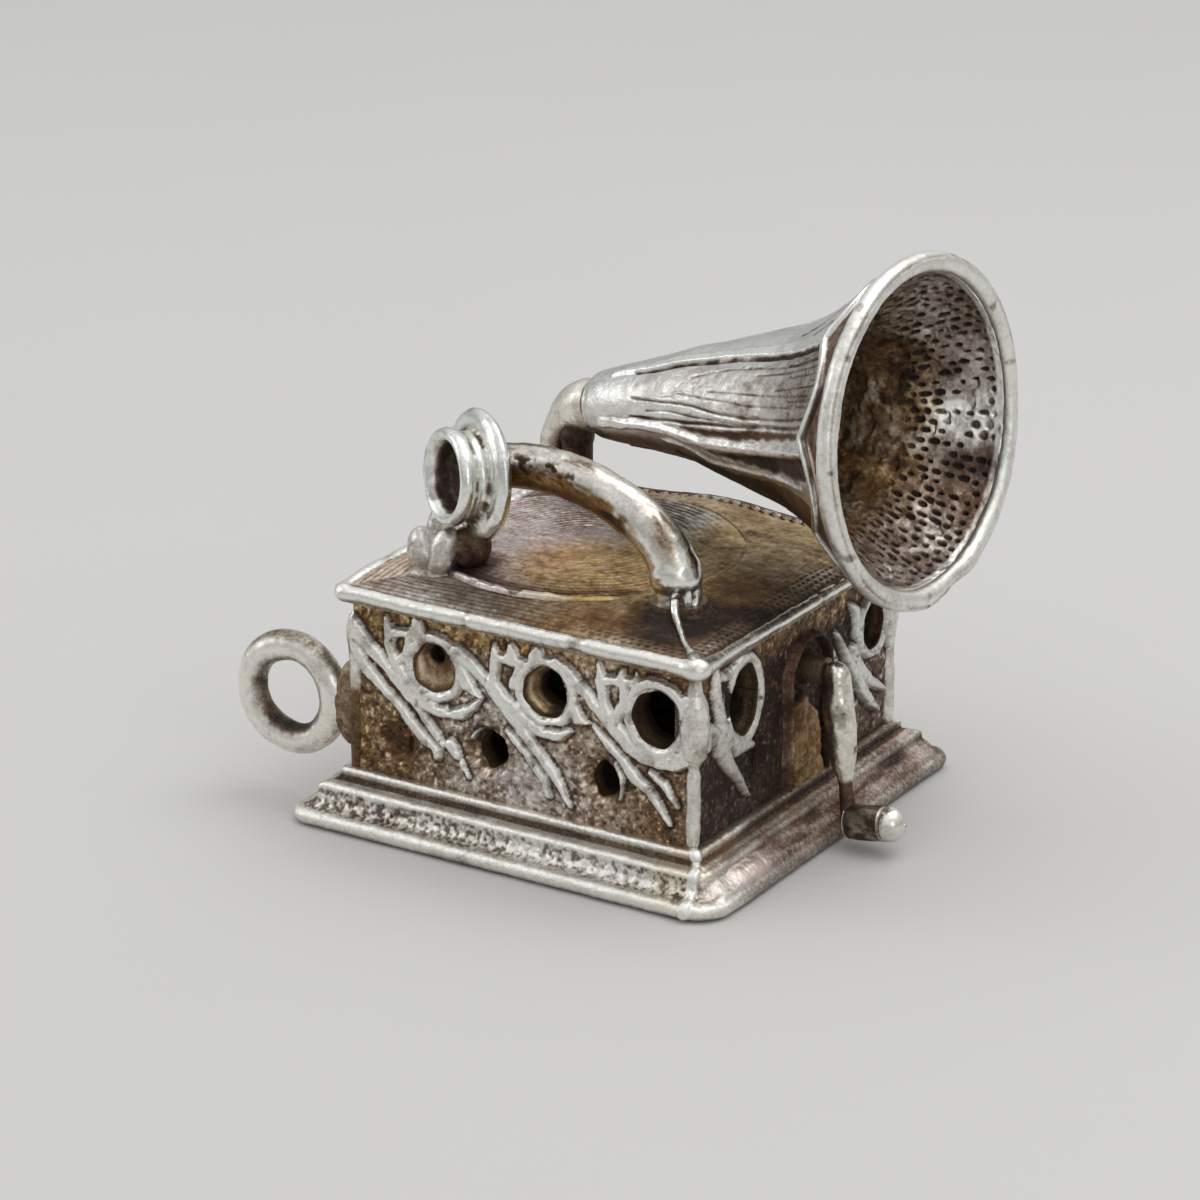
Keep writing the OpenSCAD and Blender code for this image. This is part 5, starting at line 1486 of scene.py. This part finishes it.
def crank_arm():
    z = np.concatenate([np.linspace(0.36, 0.1, 16), np.linspace(0.07, -4.52, 150)])
    r = np.interp(z, *ARM_SPINDLE.T)
    r[1:-1] = (r[:-2] + 2 * r[1:-1] + r[2:]) / 4
    p, out = tube_points(moved(xyz(0, 0, z), CRANK), r, 56)
    z = z[:, None]
    ragged = fbm(p, 1.8, 3, 70)
    left = -(out @ rightward)
    socket = spot((z,), (-0.28,), (0.42,)) * smooth(left, 0.05, 0.6) * (out @ toward > 0)
    shade = smooth(left, 0.45, 0.8) * near(z + 2.05, 0.8, 0.3)
    d = 0.03 * ragged + 0.014 * fbm(p, 6, 2, 71) - 0.05 * socket
    p = p + out * (d * smooth(r, 0.03, 0.2)[:, None])[..., None]
    neck = smooth(z, -3.15, -3.35)
    # The side facing the wall is painted darker as shade, and so is the left side midway down (shade)
    dark = 0.12 + 0.32 * smooth(ragged, 0.15, 0.5) + 0.45 * smooth(-out[..., 0], 0.3, 0.8) + 0.35 * socket
    dark = dark + 0.45 * shade + 0.4 * smooth(fbm(p, 4.5, 2, 73), 0.45, 0.6) + 0.62 * neck
    shape = Shape()
    shape.add_tube(p, dark, 0.15 + 0.2 * socket + 0.3 * neck, 0.05 + 0.7 * neck)
    shape.build("crank_bar", polished, ("crank_arm",), body="crank")


crank_arm()


def crank_handle():
    """A short round grip that points away from the wall, as far as the solid one."""
    _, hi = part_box("crank_handle")
    axis = CRANK[:3, 0]
    foot = moved(np.array([0, 0, -4.5]), CRANK)
    length = (hi.x / MM - foot[0] - 0.53 * (1 - axis[0])) / axis[0]
    s = np.concatenate([np.linspace(0, 0.72, 60), np.linspace(0.725, 1, 50)]) * length
    grip_r = 0.525
    r = np.sqrt(np.maximum(grip_r ** 2 - np.maximum(s - length + grip_r, 0) ** 2, 0))
    groove = length - grip_r - 0.12
    r = np.maximum(r - 0.07 * near(s - groove, 0.06, 0.0) - 0.05 * smooth(s, 0.1, 0.0), 0.02)
    p, out = tube_points(foot + axis * s[:, None], r, 60)
    s, r = s[:, None], r[:, None]
    sleeve = smooth(s, groove, groove - 0.1) * smooth(s, 0.03, 0.12)
    ragged = fbm(p * (0.6, 1, 1), 3.0, 3, 75)
    p = p + out * ((0.02 * ragged * sleeve + 0.008 * fbm(p, 5, 2, 77)) * smooth(r, 0.1, 0.35))[..., None]
    dark = 0.04 + sleeve * (0.42 + 0.45 * smooth(ragged, -0.1, 0.3)) + 0.55 * near(s - groove, 0.05, 0.0)
    dark = dark + 0.2 * smooth(fbm(p, 2.0, 2, 76), 0.35, 0.7)
    shape = Shape()
    shape.add_tube(p, dark, 0.1, 0.25 * sleeve)
    shape.build("crank_grip", polished, ("crank_handle",), body="crank")


crank_handle()


# Hanging ring and its lug

RING = np.array([-HALF - 2.54, -HALF + 0.5, 3.28])
RING_R, WIRE_R = 1.475, 0.46


def hanging_ring():
    a = circle(240)
    r = RING_R + 0.02 * np.cos(2 * a + 0.5) + 0.012 * np.cos(5 * a)
    path = RING + xyz(np.cos(a) * r, 0.03 * np.sin(a), np.sin(a) * r)
    p, out = tube_points(path, WIRE_R + 0.012 * np.cos(3 * a), 44, closed=True)
    p = p + out * (0.02 * fbm(p, 1.4, 3, 78) + 0.012 * fbm(p, 5, 2, 79))[..., None]
    inner = smooth(-np.sum(out * (path - RING)[:, None, :], -1), 0.3, 1.3)
    top = smooth(out[..., 2], 0.2, 0.9) * smooth(out[..., 1], 0.6, -0.2)
    # Painted shade: the ring's inner side and its top are darker
    dark = 0.46 * inner + 0.14 * smooth(fbm(p, 1.6, 2, 80), 0.1, 0.5) + 0.52 * top
    shape = Shape()
    shape.add_tube(p, dark, 0.12, 0.1, closed=True)
    shape.build("hanging_ring", worn, ("bail_ring",))


def ring_lug():
    shape = Shape()
    for (x, y, z), radii, seed, dark in (((-0.32, -0.02, 3.5), (0.62, 0.44, 1.25), 81, 0.54),
                                         ((-0.72, 0, 3.25), (0.55, 0.40, 0.8), 82, 0.58),
                                         ((-0.15, 0.05, 4.35), (0.38, 0.40, 0.55), 83, 0.30),
                                         ((-0.35, -0.05, 2.5), (0.45, 0.36, 0.42), 84, 0.60)):
        add_blob(shape, (x - HALF, y + RING[1], z), radii, seed, 0.10, dark, 0.55, 0.2)
    shape.build("ring_lug", worn, ("bail_lug",), slot="aged_silver")


hanging_ring()
ring_lug()


# Carried-over nodes get the same finishes; they have no painted wear, so their tones are even

underside = silver("underside_silver", spread=0.7, tones={"dark": 0.78, "gold": 0.4, "mauve": 0.2})
rods = silver("rod_silver", spread=0.7, tones={"dark": 0.55, "gold": 0.4, "mauve": 0.2})
# The horn's post is painted dark brown all over as shade under the bend
post = silver("shaded_post_silver", spread=0.7, tones={"dark": 0.84, "gold": 0.7, "mauve": 0.2})
FINISHES = {"floor_plate": underside, "crank_shaft": rods, "crank_collar": rods, "arm_foot": rods,
            "horn_foot": rods, "horn_post": post}
for key, finish in FINISHES.items():
    kept = frame["nodes"][key].data.materials
    kept.clear()
    kept.append(finish)


# Floor, backdrop and light

PAPER = (0.56, 0.553, 0.540)


def paper():
    material = bpy.data.materials.new("floor_paper")
    material.use_nodes = True
    tree = material.node_tree
    skin = tree.nodes["Principled BSDF"]
    skin.inputs["Roughness"].default_value = 0.75
    place = add_node(tree, "TexCoord").outputs["Object"]
    grain = add_node(tree, "TexNoise", {"Scale": 60, "Vector": place}).outputs["Fac"]
    ramp = add_node(tree, "ValToRGB", {"Fac": grain})
    for stop, factor in zip(ramp.color_ramp.elements, (0.985, 1.015)):
        stop.color = (*[c * factor for c in PAPER], 1)
    tree.links.new(ramp.outputs["Color"], skin.inputs["Base Color"])
    return material


def floor():
    n, half_width = 60, 1400
    xs = np.linspace(-half_width, half_width, n)
    mesh = mesh_of("floor", xyz(xs[:, None], xs, 0), grid_quads(n, n))
    mesh.materials.append(paper())
    o = linked("floor", mesh)


floor()


def sky():
    """One even gradient, darker at the horizon than overhead."""
    world = bpy.data.worlds.new("studio")
    bpy.context.scene.world = world
    world.use_nodes = True
    tree = world.node_tree
    tree.nodes.clear()
    up = add_node(tree, "SeparateXYZ", {0: add_node(tree, "TexCoord").outputs["Generated"]}).outputs["Z"]
    glow = add_node(tree, "Background", {"Color": (0.93, 0.935, 0.945, 1),
                                         "Strength": map_range(tree, up, 0.0, 0.9, 0.37, 1.06)})
    add_node(tree, "OutputWorld", {"Surface": glow.outputs[0]})


sky()


def lamp(name, at, to, size, power, colour):
    data = bpy.data.lights.new(name, "AREA")
    data.shape = "RECTANGLE"
    data.size, data.size_y = size[0] * MM, size[1] * MM
    data.energy = power
    data.color = colour
    o = linked(name, data)
    o.location = Vector(at) * MM
    o.rotation_mode = "QUATERNION"
    o.rotation_quaternion = (Vector(at) - Vector(to)).to_track_quat("Z", "Y")


lamp("top_box", (35, 40, 150), (5, 5, 4), (130, 110), 0.085, (1.0, 0.995, 0.98))
lamp("left_box", (-140, -60, 70), (0, 0, 6), (60, 110), 0.032, (0.97, 0.99, 1.0))
lamp("right_box", (120, -90, 60), (0, 0, 6), (50, 90), 0.016, (1.0, 0.99, 0.97))

bpy.context.scene.view_settings.view_transform = "Standard"
